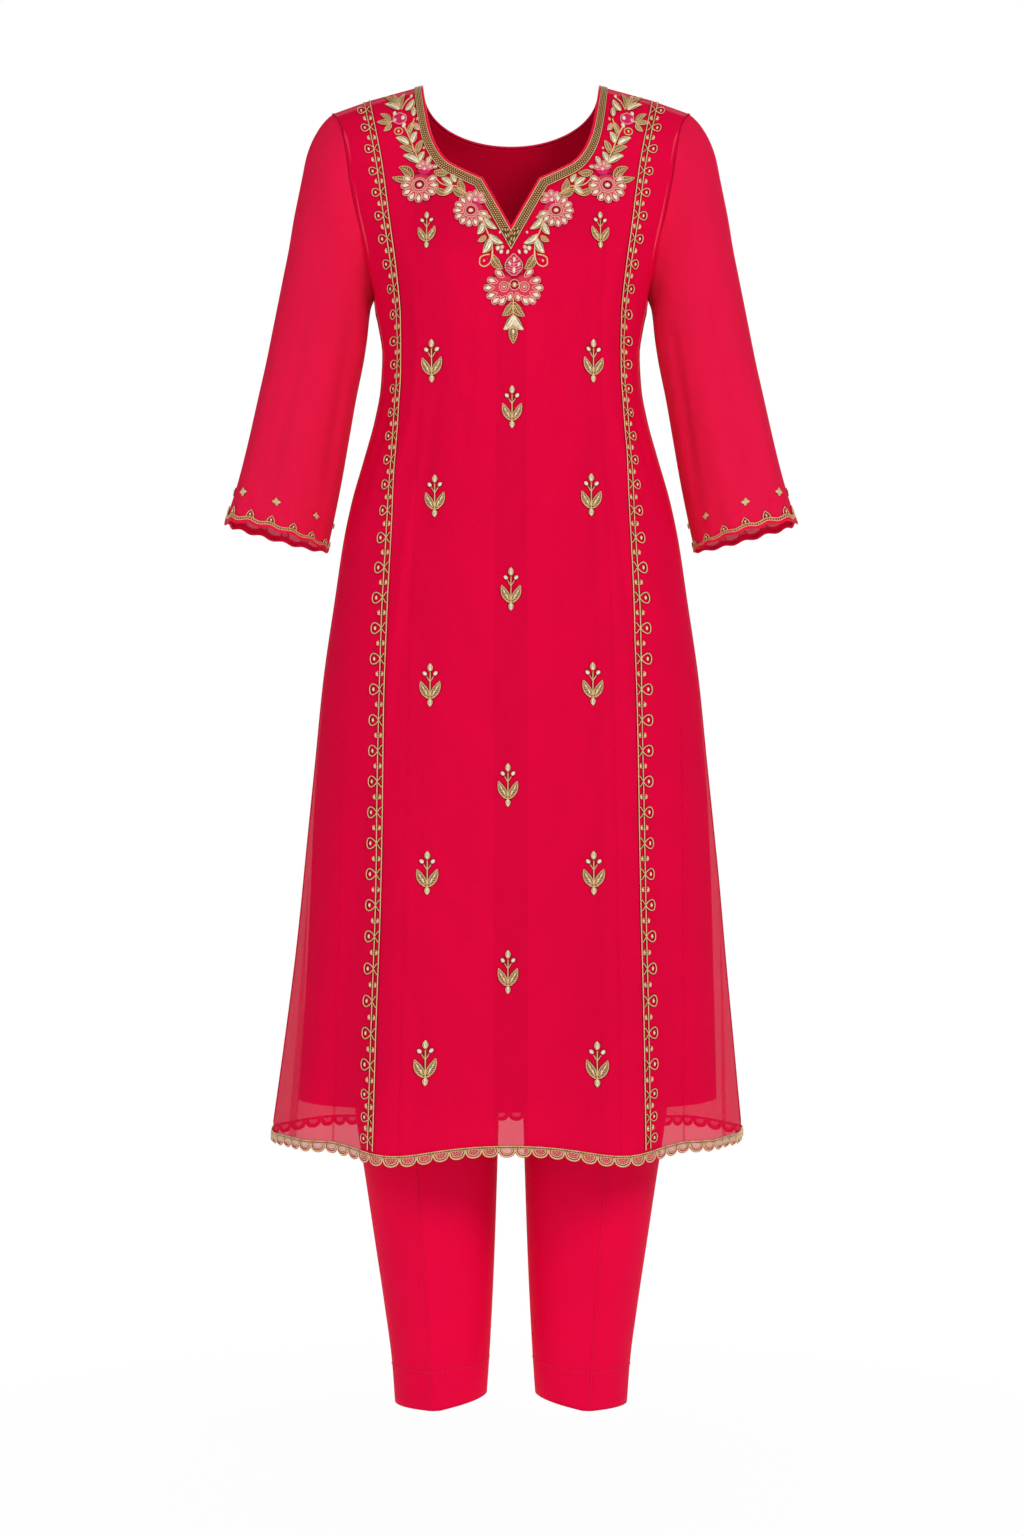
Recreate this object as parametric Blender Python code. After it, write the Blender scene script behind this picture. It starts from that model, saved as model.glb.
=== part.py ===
"""Salwar kameez suit: a calf-length princess-line kameez over its lining, with straight trousers.

Lengths are in millimetres until a mesh is made, then in metres. X runs across the wearer, the front faces
-Y and Z is up. The origin lies midway between the two shoulder points beside the neck, and "drop" is the
distance below it. Every panel is a thin closed wall: an outer grid of points, an inner grid one wall
thickness behind it, and a rim between the two. Panels meet at seams with a narrow gap.
"""

import math

import bmesh
import bpy
import numpy as np

MM = 0.001
SEAM = 0.3            # gap between pieces that are sewn together
LIFT = 0.7            # gap below a trim that lies on a panel
STRIP_LIFT = 1.15     # gap below a scalloped edging, whose steps are shorter than the panel's
SHELL_WALL = 1.2
LINING_WALL = 1.2
TROUSER_WALL = 1.4
BAND_WALL = 2.2

# Kameez, landmarks down from the shoulder point beside the neck.
SHOULDER_TIP = 27.0
ARMPIT = 212.0
HEM = 1040.0
HEM_DIP = 0.28        # how far the hem falls at a fold, as a share of the fold's height
LINING_HEM = 1006.0
NECK_HALF = 90.0
BACK_NECK_DROP = 46.0
SQUARENESS = 2.3      # exponent of the body's rounded section
ROLL = 60.0           # how far down the shoulder's rounding reaches
HOLE_FRONT = 54.0     # depth of the armhole before and behind the shoulder seam
HOLE_BACK = 50.0
BUST_SWELL = 9.0

BODY = {
    "drop":       (0, 30, 60, 90, 120, 160, 190, 212, 240, 267, 300, 332, 372, 412, 452, 512, 592, 672,
                   772, 872, 972, 1034),
    "half_width": (137, 137, 137, 137, 137, 137, 137, 137, 131.8, 128, 129.7, 135.5, 146.5, 158, 166.5,
                   175.5, 187, 195, 205, 214.5, 225.5, 232.5),
    "front":      (52, 60, 70, 81, 93, 107, 113, 113, 108, 101, 96, 95, 98, 102, 106, 110, 116, 121,
                   128, 135, 144, 150),
    "back":       (52, 64, 75, 84, 91, 95, 94, 92, 87, 83, 82, 85, 92, 100, 106, 111, 114, 116,
                   119, 123, 128, 131),
}
SHOULDER = {"across": (0, 90, 141, 178), "drop": (-8, 0, 14, 27)}
ARMHOLE = {
    "drop":   (27, 44, 70, 95, 128, 162, 190, 204, 212),
    "across": (178, 168, 162.5, 159, 153, 145, 140.3, 138.2, 137),
}
PRINCESS = {
    "drop":   (14, 87, 147, 196, 242, 291, 326, 439, 539, 634, 807, 930, 1044),
    "across": (141, 125.7, 116.2, 108.7, 104.9, 105.5, 108.1, 113.2, 118.6, 121.2, 124.9, 127, 129.5),
}
FRONT_NECK = {
    "across": (0, 28.5, 45.1, 62.8, 74.7, 81.2, 85.5, 88.9, 90),
    "drop":   (163, 110, 101.6, 90.8, 74, 56, 33, 9, 0),
}
LINING_INSET = {
    "drop":  (0, 60, 212, 300, 592, 672, 712, 812, 912, 1006),
    "inset": (4.2, 3.8, 3, 2.9, 3, 3.4, 4.4, 9, 15, 21.5),
}
LINING_EDGE_INSET = 2.2

# Long soft folds of the skirt: degrees round from the centre front, height at the hem, width in degrees and
# the drop at which each begins.
FOLDS = {
    "around": (-157, -128, -108, -66, -54, -45, -24, 0, 23, 44, 55, 66, 104, 126, 150, 180),
    "height": (11, -7, 8, -4, 5, -5, 25, -3, 24, -5, 6, -4, 9, -8, 12, -6),
    "width":  (13, 9, 10, 5, 6, 4, 11, 8, 11, 4, 6, 5, 10, 9, 13, 9),
    "start":  (520, 560, 480, 560, 540, 540, 420, 500, 420, 540, 540, 560, 500, 540, 560, 520),
}

# Sleeves: the outer edge from the shoulder tip to the cuff, and the inner edge from the armpit.
SLEEVE_OUTER = {
    "drop":   (27, 32, 42, 57, 72, 87, 102, 132, 162, 192, 222, 252, 272, 312, 352, 392, 433),
    "across": (178, 184, 192, 200, 205, 208, 211, 217, 222, 228, 234, 240, 244, 253, 262, 272, 284.5),
}
SLEEVE_INNER = {
    "drop":   (212, 222, 252, 272, 312, 352, 392, 432, 462),
    "across": (137, 140.5, 144, 147, 155, 162, 169, 177, 183.5),
}
SLEEVE_HALF_DEPTH = {
    "along": (0, 0.1, 0.3, 0.6, 1),
    "front": (54, 57, 54, 50, 50),
    "back":  (50, 53, 51, 48, 46),
}
SLEEVE_RINGS = (0, 0.03, 0.08, 0.15, 0.23, 0.32, 0.42, 0.52, 0.62, 0.72, 0.82, 0.91, 1)
CUFF_RISE = 4.0       # how much higher the cuff is in front than in the middle
CUFF_SCALLOPS = 18
CUFF_ABOVE, CUFF_BELOW, CUFF_DIP = 9.0, 2.2, 2.6

# Trims.
LACE_SCALLOPS_FRONT, LACE_SCALLOPS_BACK = 41, 38
LACE_ABOVE, LACE_BELOW, LACE_DIP = 3.0, 8.0, 2.2
TRIM_WALL = 1.1
BRAID_INSIDE, BRAID_OUTSIDE, BRAID_CROWN = 1.3, 7.0, 0.6
NECK_BAND_WIDTH = 10.0
PIPING_RADIUS = 1.2
BLOOM_HEIGHT = 2.2

# Trousers.
WAIST_TOP, WAIST_SEAM = 283.0, 322.0
FORK_START, CROTCH, TROUSER_HEM = 478.0, 590.0, 1312.0
LEG_SQUARENESS = 2.08
TROUSERS = {
    "drop":   (283, 322, 372, 412, 452, 512, 592, 700, 800, 900, 1018, 1092, 1152, 1212, 1272, 1312),
    "outer":  (122.6, 127.4, 139.5, 150.5, 159, 167, 170, 171, 169, 165, 156, 145, 136, 127, 119, 116),
    "inner":  (0, 0, 0, 0, 0, 0, 0, 2.5, 5.5, 8.5, 11.8, 14, 16, 18.5, 21.5, 24),
    "front":  (84, 84, 86, 90, 94, 96, 91, 84, 77, 71, 66, 61, 56, 52, 47, 45),
    "back":   (72.5, 74.5, 79.5, 85, 90, 95, 94.5, 88, 78, 73, 72, 68, 62, 56, 51, 49),
    "crease": (0, 0, 0, 0, 0, 0, 0.2, 1, 2, 3, 3.6, 4, 4, 4, 4, 4),
}
CREASE_SHIFT = 0.09   # how far each crease lies outside the middle of its leg, as a share of its width

FABRIC_TINTS = {
    "shell": (0.72, 0.006, 0.035), "lining": (0.60, 0.005, 0.030), "sleeve": (0.78, 0.012, 0.060),
    "trouser": (0.66, 0.004, 0.038), "gold": (0.52, 0.34, 0.12), "lace": (0.66, 0.42, 0.22),
    "bloom": (0.60, 0.10, 0.16), "piping": (0.62, 0.006, 0.04),
}


def smooth(xs, ys, x):
    """Value at x of the curve without overshoot through the table's points."""
    xs, ys = np.asarray(xs, float), np.asarray(ys, float)
    step = np.diff(xs)
    slope = np.diff(ys) / step
    before, after = slope[:-1], slope[1:]
    rising = before * after > 0
    total = np.where(rising, before + after, 1)
    middle = np.where(rising, 2 * before * after / total, 0)
    tangent = np.concatenate([slope[:1], middle, slope[-1:]])
    x = np.clip(x, xs[0], xs[-1])
    k = np.clip(np.searchsorted(xs, x, side="right") - 1, 0, len(step) - 1)
    h = step[k]
    t = (x - xs[k]) / h
    return (
        ys[k] * (1 + 2 * t) * (1 - t) ** 2
        + tangent[k] * h * t * (1 - t) ** 2
        + ys[k + 1] * t * t * (3 - 2 * t)
        + tangent[k + 1] * h * t * t * (t - 1)
    )


def unit(v):
    return v / np.maximum(np.linalg.norm(v, axis=-1, keepdims=True), 1e-9)


# ------------------------------------------------------------------ the kameez's surface


def shoulder_drop(x):
    return np.interp(np.abs(x), SHOULDER["across"], SHOULDER["drop"])


def armhole_x(drop):
    return smooth(ARMHOLE["drop"], ARMHOLE["across"], drop)


def princess_x(drop):
    return smooth(PRINCESS["drop"], PRINCESS["across"], drop)


def roll(below_shoulder):
    """Quarter circle over the shoulder: 0 on the shoulder line, 1 from ROLL below it."""
    share = np.clip(below_shoulder / ROLL, 0, 1)
    return np.sqrt(1 - (1 - share) ** 2)


def reach(drop, depth, hole):
    """Half width of the section. Above the armpit it is the width that carries it through the armhole."""
    share = np.clip((drop - SHOULDER_TIP) / (ARMPIT - SHOULDER_TIP), 0.004, 1)
    edge = hole * 2 * np.sqrt(share * (1 - share))
    height = depth * roll(share * (ARMPIT - SHOULDER_TIP))
    bend = (1 - (edge / height) ** SQUARENESS) ** (1 / SQUARENESS)
    below = smooth(BODY["drop"], BODY["half_width"], drop)
    return np.where(drop < ARMPIT, armhole_x(drop) / bend, below)


def folds(angle, drop):
    """Height of the skirt's folds at an angle round from the centre front, in degrees, and a drop."""
    columns = ("around", "height", "width", "start")
    around, height, width, start = (np.asarray(FOLDS[column], float) for column in columns)
    away = (angle[..., None] - around + 180) % 360 - 180
    grown = np.clip((drop[..., None] - start) / (HEM - start), 0, 1.1) ** 1.5
    return (height * grown * np.exp(-((away / width) ** 2))).sum(axis=-1)


def body_point(x, drop, face, fold_share=1.0):
    """Point of the kameez at a distance across and a drop. The face is -1 in front and 1 behind."""
    x, drop = np.broadcast_arrays(np.asarray(x, float), np.asarray(drop, float))
    depth = smooth(BODY["drop"], BODY["front" if face < 0 else "back"], drop)
    wide = reach(drop, depth, HOLE_FRONT if face < 0 else HOLE_BACK)
    share = np.clip(np.abs(x) / wide, 0, 1)
    if face < 0:
        bust = np.exp(-(((np.abs(x) - 70) / 36) ** 2) - ((drop - 192) / 50) ** 2)
        depth = depth + BUST_SWELL * bust
    curve = (1 - share**SQUARENESS) ** (1 / SQUARENESS)
    y = depth * curve * roll(drop - shoulder_drop(x))
    turn = np.degrees(np.arcsin(share ** (SQUARENESS / 2)))
    around = np.sign(x) * (turn if face < 0 else 180 - turn)
    lift = folds(around, drop) * fold_share
    across = unit(np.stack([share ** (SQUARENESS - 1) / wide, curve ** (SQUARENESS - 1) / depth], axis=-1))
    dip = HEM_DIP * lift * np.clip((drop - 880) / (HEM - 880), 0, 1)
    return np.stack(
        [x + np.sign(x) * across[..., 0] * lift, face * (y + across[..., 1] * lift), -drop - dip], axis=-1
    )


def body_outward(x, drop, face, fold_share=1.0, step=0.8):
    """Outward direction of the kameez, across its slopes over a short step each way."""
    x, drop = np.broadcast_arrays(np.asarray(x, float), np.asarray(drop, float))
    across = body_point(x + step, drop, face, fold_share) - body_point(x - step, drop, face, fold_share)
    down = body_point(x, drop + step, face, fold_share) - body_point(x, drop - step, face, fold_share)
    return -face * unit(np.cross(down, across))


def turn_to_x(turn, wide):
    return wide * np.sin(turn) ** (2 / SQUARENESS)


def x_to_turn(x, wide):
    return np.arcsin(np.clip(x / wide, 0, 1) ** (SQUARENESS / 2))


def yoke_shares(rows):
    return (1 - np.cos(np.pi * np.arange(rows + 1) / rows)) / 2


def edge_reach(drop, face):
    depth = smooth(BODY["drop"], BODY["front" if face < 0 else "back"], drop)
    return reach(drop, depth, HOLE_FRONT if face < 0 else HOLE_BACK)


def front_neck(parts):
    """Across and drop of the front neckline from the centre's point to the shoulder, in equal steps."""
    along = np.linspace(0, len(FRONT_NECK["drop"]) - 1, parts + 1)
    index = np.arange(len(FRONT_NECK["drop"]))
    return np.interp(along, index, FRONT_NECK["across"]), np.interp(along, index, FRONT_NECK["drop"])


def back_neck(parts):
    x = NECK_HALF * np.sin(np.linspace(0, 1, parts + 1) * np.pi / 2)
    return x, BACK_NECK_DROP * np.sqrt(np.clip(1 - (x / NECK_HALF) ** 2, 0, 1))


def column_lattice(tops, x_of, shares, drops):
    """Across and drop at each row and column. A column starts at its top and eases to its place in x_of."""
    top_x, top_drop = tops
    share = shares[:, None]
    drop = top_drop + (ARMPIT - top_drop) * share
    x = x_of(drop) + (top_x - x_of(top_drop)) * (1 - share) ** 2
    below = np.broadcast_to(np.asarray(drops, float)[:, None], (len(drops), len(top_x)))
    return np.vstack([x, x_of(below)]), np.vstack([drop, below])


def front_centre_lattice(neck, shoulder, shares, drops):
    """The half of the centre panel from the centre front to the princess seam."""
    neck_x, neck_drop = front_neck(neck)
    more = np.linspace(NECK_HALF, PRINCESS["across"][0], shoulder + 1)[1:]
    tops = np.concatenate([neck_x, more]), np.concatenate([neck_drop, shoulder_drop(more)])
    even = np.linspace(0, 1, neck + shoulder + 1)
    return column_lattice(tops, lambda drop: even * princess_x(drop), shares, drops)


def front_side_lattice(parts, shares, drops):
    """The side panel from the princess seam to the armhole and side seam."""
    even = np.linspace(0, 1, parts + 1)

    def x_of(drop):
        wide = edge_reach(drop, -1)
        first = x_to_turn(princess_x(drop), wide)
        last = np.where(drop < ARMPIT, x_to_turn(armhole_x(drop), wide), np.pi / 2)
        return turn_to_x(first + (last - first) * even, wide)

    top_drop = np.linspace(PRINCESS["drop"][0], SHOULDER_TIP, parts + 1)
    for _ in range(6):
        top_drop = shoulder_drop(x_of(top_drop))
    return column_lattice((x_of(top_drop), top_drop), x_of, shares, drops)


def back_lattice(neck, shoulder, shares, drops):
    """The half of the back from the centre to the armhole and side seam."""
    even = np.linspace(0, 1, neck + shoulder + 1)

    def x_of(drop):
        wide = edge_reach(drop, 1)
        last = np.where(drop < ARMPIT, x_to_turn(armhole_x(drop), wide), np.pi / 2)
        return turn_to_x(last * even, wide)

    neck_x, neck_drop = back_neck(neck)
    more = np.linspace(NECK_HALF, ARMHOLE["across"][0], shoulder + 1)[1:]
    tops = np.concatenate([neck_x, more]), np.concatenate([neck_drop, shoulder_drop(more)])
    return column_lattice(tops, x_of, shares, drops)


def both_sides(x, drop):
    """A half lattice and its mirror image, from the left to the right."""
    return np.hstack([-x[:, :0:-1], x]), np.hstack([drop[:, :0:-1], drop])


# ------------------------------------------------------------------ walls


def grid_normals(points, closed=False):
    """Unit normals of a grid, outward where the rows run down and the columns from left to right in front."""
    if closed:
        across = np.roll(points, -1, axis=1) - np.roll(points, 1, axis=1)
    else:
        across = np.gradient(points, axis=1)
    return unit(np.cross(np.gradient(points, axis=0), across))


def grid_faces(rows, cols, closed=False):
    """Corner numbers of the grid's quads, facing along grid_normals."""
    index = np.arange(rows * cols).reshape(rows, cols)
    right = np.roll(index, -1, axis=1) if closed else index[:, 1:]
    left = index if closed else index[:, :-1]
    return np.stack([left[:-1], left[1:], right[1:], right[:-1]], axis=-1).reshape(-1, 4)


def wall_mesh(outer, inner, closed=False):
    """Points and faces of the closed wall between two grids."""
    rows, cols = outer.shape[:2]
    count = rows * cols
    faces = grid_faces(rows, cols, closed)
    index = np.arange(count).reshape(rows, cols)
    if closed:
        loops = [np.append(index[0], index[0, 0])[::-1], np.append(index[-1], index[-1, 0])]
    else:
        loops = [np.concatenate([index[:, 0], index[-1, 1:], index[-2::-1, -1], index[0, -2::-1]])]
    rims = [np.stack([a[1:], a[:-1], a[:-1] + count, a[1:] + count], axis=-1) for a in loops]
    every = np.vstack([faces, faces[:, ::-1] + count, *rims])
    return np.vstack([outer.reshape(-1, 3), inner.reshape(-1, 3)]), every


def ring_mesh(sections):
    """Points and faces of a closed ring of closed sections, for bindings and waistbands."""
    count, sides = sections.shape[:2]
    index = np.arange(count * sides).reshape(count, sides)
    ahead = np.roll(index, -1, axis=0)
    faces = np.stack([index, np.roll(index, -1, axis=1), np.roll(ahead, -1, axis=1), ahead], axis=-1)
    return sections.reshape(-1, 3), faces.reshape(-1, 4)


def fabric(name, tint, roughness=0.75, metallic=0.0):
    material = bpy.data.materials.new(name)
    material.use_nodes = True
    shader = material.node_tree.nodes["Principled BSDF"]
    shader.inputs["Base Color"].default_value = (*tint, 1)
    shader.inputs["Roughness"].default_value = roughness
    shader.inputs["Metallic"].default_value = metallic
    return material


def add_object(name, points, faces, tint, roughness=0.75, metallic=0.0, turned_at=50.0):
    """One named object in metres, faces outward, shaded smooth except across its rims."""
    mesh = bpy.data.meshes.new(name)
    mesh.from_pydata((points * MM).tolist(), [], faces.tolist())
    form = bmesh.new()
    form.from_mesh(mesh)
    bmesh.ops.triangulate(form, faces=form.faces, quad_method="SHORT_EDGE")
    bmesh.ops.recalc_face_normals(form, faces=form.faces)
    form.to_mesh(mesh)
    form.free()
    mesh.shade_smooth()
    mesh.set_sharp_from_angle(angle=math.radians(turned_at))
    mesh.materials.append(fabric(name, tint, roughness, metallic))
    thing = bpy.data.objects.new(name, mesh)
    bpy.context.scene.collection.objects.link(thing)
    return thing


def add_wall(name, outer, inner, tint, closed=False, **look):
    return add_object(name, *wall_mesh(outer, inner, closed), tint, **look)


# ------------------------------------------------------------------ the kameez's panels


class Kameez:
    """Outer points and inward directions of the front and back, shared by the pieces that meet."""

    def __init__(
        self, neck, shoulder, side, back_neck_parts, back_shoulder, yoke_rows, drops, fold_share=1.0
    ):
        self.yoke = yoke_rows
        self.side = side
        shares = yoke_shares(yoke_rows)
        centre = front_centre_lattice(neck, shoulder, shares, drops)
        outer = front_side_lattice(side, shares, drops)
        half = [np.hstack([c, s[:, 1:]]) for c, s in zip(centre, outer)]
        front = both_sides(*half)
        back = both_sides(*back_lattice(back_neck_parts, back_shoulder, shares, drops))
        self.front = body_point(*front, -1, fold_share)
        self.back = body_point(*back, 1, fold_share)
        self.front_in = -body_outward(*front, -1, fold_share)
        self.back_in = -body_outward(*back, 1, fold_share)
        self.seam_front = (neck + shoulder, neck)
        self.seam_back = (back_neck_parts + back_shoulder, back_neck_parts)
        self._square_seams()

    def _square_seams(self):
        """Turns the inward directions on the shoulder and side seams into the seams' own plane."""
        for inward, neck in ((self.front_in, self.seam_front[1]), (self.back_in, self.seam_back[1])):
            middle = inward.shape[1] // 2
            for shoulder in (slice(None, middle - neck + 1), slice(middle + neck, None)):
                inward[0, shoulder, 1] = 0
            for edge in (0, -1):
                inward[self.yoke:, edge, 1] = 0
            inward[:] = unit(inward)

    def armhole(self, side):
        """Points and inward directions round one armhole: down the front from the shoulder, up the back."""
        edge = 0 if side < 0 else -1
        down = slice(0, self.yoke + 1)
        up = slice(self.yoke - 1, 0, -1)
        points = np.vstack([self.front[down, edge], self.back[up, edge]])
        inward = np.vstack([self.front_in[down, edge], self.back_in[up, edge]])
        return points, inward

    def set_armhole(self, side, inward, shift):
        """Gives the armhole's edge its mitred directions, and moves it back from the sleeve."""
        edge = 0 if side < 0 else -1
        n = self.yoke
        self.front_in[: n + 1, edge] = inward[: n + 1]
        self.back_in[1:n, edge] = inward[:n:-1]
        self.back_in[0, edge] = inward[0]
        self.back_in[n, edge] = inward[n]
        self.front[: n + 1, edge] -= shift[: n + 1]
        self.back[1:n, edge] -= shift[:n:-1]
        self.back[0, edge] -= shift[0]
        self.back[n, edge] -= shift[n]

    def open_seams(self):
        """Draws the front and back apart along the shoulder and side seams."""
        for points, neck, face in ((self.front, self.seam_front[1], -1), (self.back, self.seam_back[1], 1)):
            middle = points.shape[1] // 2
            for shoulder in (slice(None, middle - neck + 1), slice(middle + neck, None)):
                points[0, shoulder, 1] += face * SEAM / 2
            for edge in (0, -1):
                points[self.yoke:, edge, 1] += face * SEAM / 2

    def panel(self, first, last, wall, hem_row=None):
        """Outer and inner grids of the front's columns first to last, drawn back from the princess seams."""
        points = self.front[:hem_row, first : last + 1].copy()
        inward = self.front_in[:hem_row, first : last + 1]
        away = {0: 1, -1: -1}
        for column, way in away.items():
            place = first if column == 0 else last
            if place in (0, self.front.shape[1] - 1):
                continue
            along = np.gradient(points[:, column], axis=0)
            across = unit(np.cross(inward[:, column], along))
            across *= np.sign(across[:, :1])
            points[:, column] += way * across * SEAM / 2
        return points, points + inward * wall


def sleeve_grid(side, loop, rings=SLEEVE_RINGS):
    """Rings of the sleeve from the armhole's loop to the cuff, and their places along the sleeve."""
    turns = len(loop)
    angle = 2 * np.pi * np.arange(turns) / turns
    half = turns // 2
    t = np.asarray(rings, float)[:, None]
    outer_drop = SHOULDER_TIP + (SLEEVE_OUTER["drop"][-1] - SHOULDER_TIP) * t
    inner_drop = ARMPIT + (SLEEVE_INNER["drop"][-1] - ARMPIT) * t
    outer_x = smooth(SLEEVE_OUTER["drop"], SLEEVE_OUTER["across"], outer_drop)
    inner_x = smooth(SLEEVE_INNER["drop"], SLEEVE_INNER["across"], inner_drop)
    share = (1 - np.cos(angle)) / 2
    x = outer_x + (inner_x - outer_x) * share
    drop = outer_drop + (inner_drop - outer_drop) * share
    depth = np.where(
        np.arange(turns) <= half,
        -smooth(SLEEVE_HALF_DEPTH["along"], SLEEVE_HALF_DEPTH["front"], t),
        smooth(SLEEVE_HALF_DEPTH["along"], SLEEVE_HALF_DEPTH["back"], t),
    )
    rise = CUFF_RISE * np.sin(angle) * t**3
    grid = np.stack([side * x, depth * np.abs(np.sin(angle)), rise - drop], axis=-1)
    fade = np.clip(1 - t / 0.3, 0, 1)[..., None] ** 2
    return grid + (loop - grid[0]) * fade


def outward_of_ring(grid, side):
    return -grid_normals(grid, closed=True) * side


def mitre_armhole(kameez, side, wall):
    """Sews the sleeve to its armhole, and gives the sleeve's outer points and inward directions."""
    loop, body_in = kameez.armhole(side)
    grid = sleeve_grid(side, loop)
    sleeve_out = outward_of_ring(grid, side)
    inward = -unit(sleeve_out[0] - body_in)
    along = np.roll(loop, -1, axis=0) - np.roll(loop, 1, axis=0)
    gap = unit(np.cross(inward, along))
    gap *= np.where(gap[:, :1] * side > 0, 1, -1)
    kameez.set_armhole(side, inward, gap * SEAM / 2)
    grid[0] += gap * SEAM / 2
    directions = -sleeve_out
    directions[0] = inward
    return grid, directions


def along_polyline(line, distance):
    """Points at distances along each row's polyline, straight on past its ends."""
    length = np.concatenate([[0], np.cumsum(np.linalg.norm(np.diff(line, axis=0), axis=1))])
    k = np.clip(np.searchsorted(length, distance, side="right") - 1, 0, len(line) - 2)
    share = (distance - length[k]) / (length[k + 1] - length[k])
    return line[k] + (line[k + 1] - line[k]) * share[:, None]


def build_shell(kameez):
    """Centre front, side fronts and back of the outer layer."""
    side = kameez.side
    last = kameez.front.shape[1] - 1
    add_wall("kameez_front_centre", *kameez.panel(side, last - side, SHELL_WALL), FABRIC_TINTS["shell"])
    add_wall("kameez_front_side_left", *kameez.panel(0, side, SHELL_WALL), FABRIC_TINTS["shell"])
    add_wall("kameez_front_side_right", *kameez.panel(last - side, last, SHELL_WALL), FABRIC_TINTS["shell"])
    back = kameez.back
    add_wall("kameez_back", back, back + kameez.back_in * SHELL_WALL, FABRIC_TINTS["shell"])


def build_sleeve(name, grid, directions):
    add_wall(name, grid, grid + directions * SHELL_WALL, FABRIC_TINTS["sleeve"], closed=True)


def scalloped_strip(top, bottom, outward, scallops, dip, per_scallop=3, closed=False):
    """Wall of a strip between two polylines, its lower edge cut in scallops."""
    count = scallops * per_scallop + (0 if closed else 1)
    share = np.arange(count) / (scallops * per_scallop)

    def resample(line):
        if closed:
            line = np.vstack([line, line[:1]])
        length = np.concatenate([[0], np.cumsum(np.linalg.norm(np.diff(bottom_line, axis=0), axis=1))])
        return np.stack([np.interp(share * length[-1], length, line[:, a]) for a in range(3)], axis=1)

    bottom_line = np.vstack([bottom, bottom[:1]]) if closed else bottom
    high, low, out = resample(top), resample(bottom), unit(resample(outward))
    down = unit(low - high)
    wave = np.abs(np.sin(np.pi * np.arange(count) / per_scallop))
    inner = np.stack([high, low + down * (wave[:, None] * dip)]) + out * STRIP_LIFT
    return inner + out * TRIM_WALL, inner


def build_cuff(name, grid, directions):
    """Scalloped edging outside the sleeve's lower edge, made from the sleeve's last two rings."""
    run = grid[-1] - grid[-2]
    down = unit(run)
    out = -directions[-1]
    outer, inner = scalloped_strip(
        grid[-1] - down * CUFF_ABOVE, grid[-1] + down * CUFF_BELOW, out, CUFF_SCALLOPS, CUFF_DIP, closed=True
    )
    add_wall(name, outer, inner, FABRIC_TINTS["gold"], closed=True, roughness=0.5)


def build_hem_lace(name, grid, inward, scallops, dip=LACE_DIP):
    """Scalloped lace outside the hem, made from the panel's last two rows."""
    down = unit(grid[-1] - grid[-2])
    line_top = grid[-1] - down * LACE_ABOVE
    line_bottom = grid[-1] + down * LACE_BELOW
    outer, inner = scalloped_strip(line_top, line_bottom, -inward[-1], scallops, dip)
    add_wall(name, outer, inner, FABRIC_TINTS["lace"], roughness=0.5)


def build_princess_braid(name, kameez, side):
    """Braid over one princess seam, made from the seam's column and its neighbours."""
    seam = kameez.side if side < 0 else kameez.front.shape[1] - 1 - kameez.side
    order = slice(None, None, -1) if side < 0 else slice(None)
    places = np.array([-BRAID_INSIDE, (BRAID_OUTSIDE - BRAID_INSIDE) / 2, BRAID_OUTSIDE])
    out = -kameez.front_in[:, seam]
    outer_part = kameez.front[:, seam:] if side > 0 else kameez.front[:, seam::-1]
    inner_part = kameez.front[:, seam::-1] if side > 0 else kameez.front[:, seam:]
    under = np.stack(
        [
            np.vstack([along_polyline(inward_row, -places[:1]), along_polyline(outward_row, places[1:])])
            for inward_row, outward_row in zip(inner_part, outer_part)
        ]
    )
    under = under[:, order] + out[:, None] * LIFT
    height = np.array([0, BRAID_CROWN, 0])[None, :, None] + TRIM_WALL
    over = under + out[:, None] * height
    for grid in (under, over):
        grid[-1] += unit(grid[-2] - grid[-1]) * (LACE_ABOVE + 2 * SEAM)
    add_wall(name, over, under, FABRIC_TINTS["gold"], roughness=0.4, metallic=0.4)


# ------------------------------------------------------------------ neck trims


def surface_frame(x, drop):
    """Point and outward direction of the front at places given across and down."""
    return body_point(x, drop, -1), body_outward(x, drop, -1)


def neck_line(parts):
    """Front neckline from the left shoulder through the centre's point to the right."""
    x, drop = front_neck(parts)
    return np.stack([np.concatenate([-x[:0:-1], x]), np.concatenate([drop[:0:-1], drop])], axis=1)


def side_of_line(line):
    """Direction away from the opening at each point of a line across and down, mitred at its corners."""
    run = np.diff(line, axis=0)
    run /= np.linalg.norm(run, axis=1, keepdims=True)
    turned = np.stack([-run[:, 1], run[:, 0]], axis=1)
    first, last = np.vstack([turned[:1], turned]), np.vstack([turned, turned[-1:]])
    middle = first + last
    return middle * 2 / np.maximum((middle**2).sum(axis=1, keepdims=True), 1.2)


def build_neck_band():
    """Raised braid round the front neckline."""
    line = neck_line(16)
    line = line[1:-1]
    away = side_of_line(line)
    places = np.array([0.6, NECK_BAND_WIDTH / 2, NECK_BAND_WIDTH])
    spots = line[None] + away[None] * places[:, None, None]
    point, out = surface_frame(spots[..., 0], np.maximum(spots[..., 1], shoulder_drop(spots[..., 0]) + 4))
    under = point + out * (LIFT + SEAM)
    height = np.array([0, 0.7, 0])[:, None, None] + TRIM_WALL
    add_wall("neck_band", under + out * height, under, FABRIC_TINTS["gold"], roughness=0.4, metallic=0.4)


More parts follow.
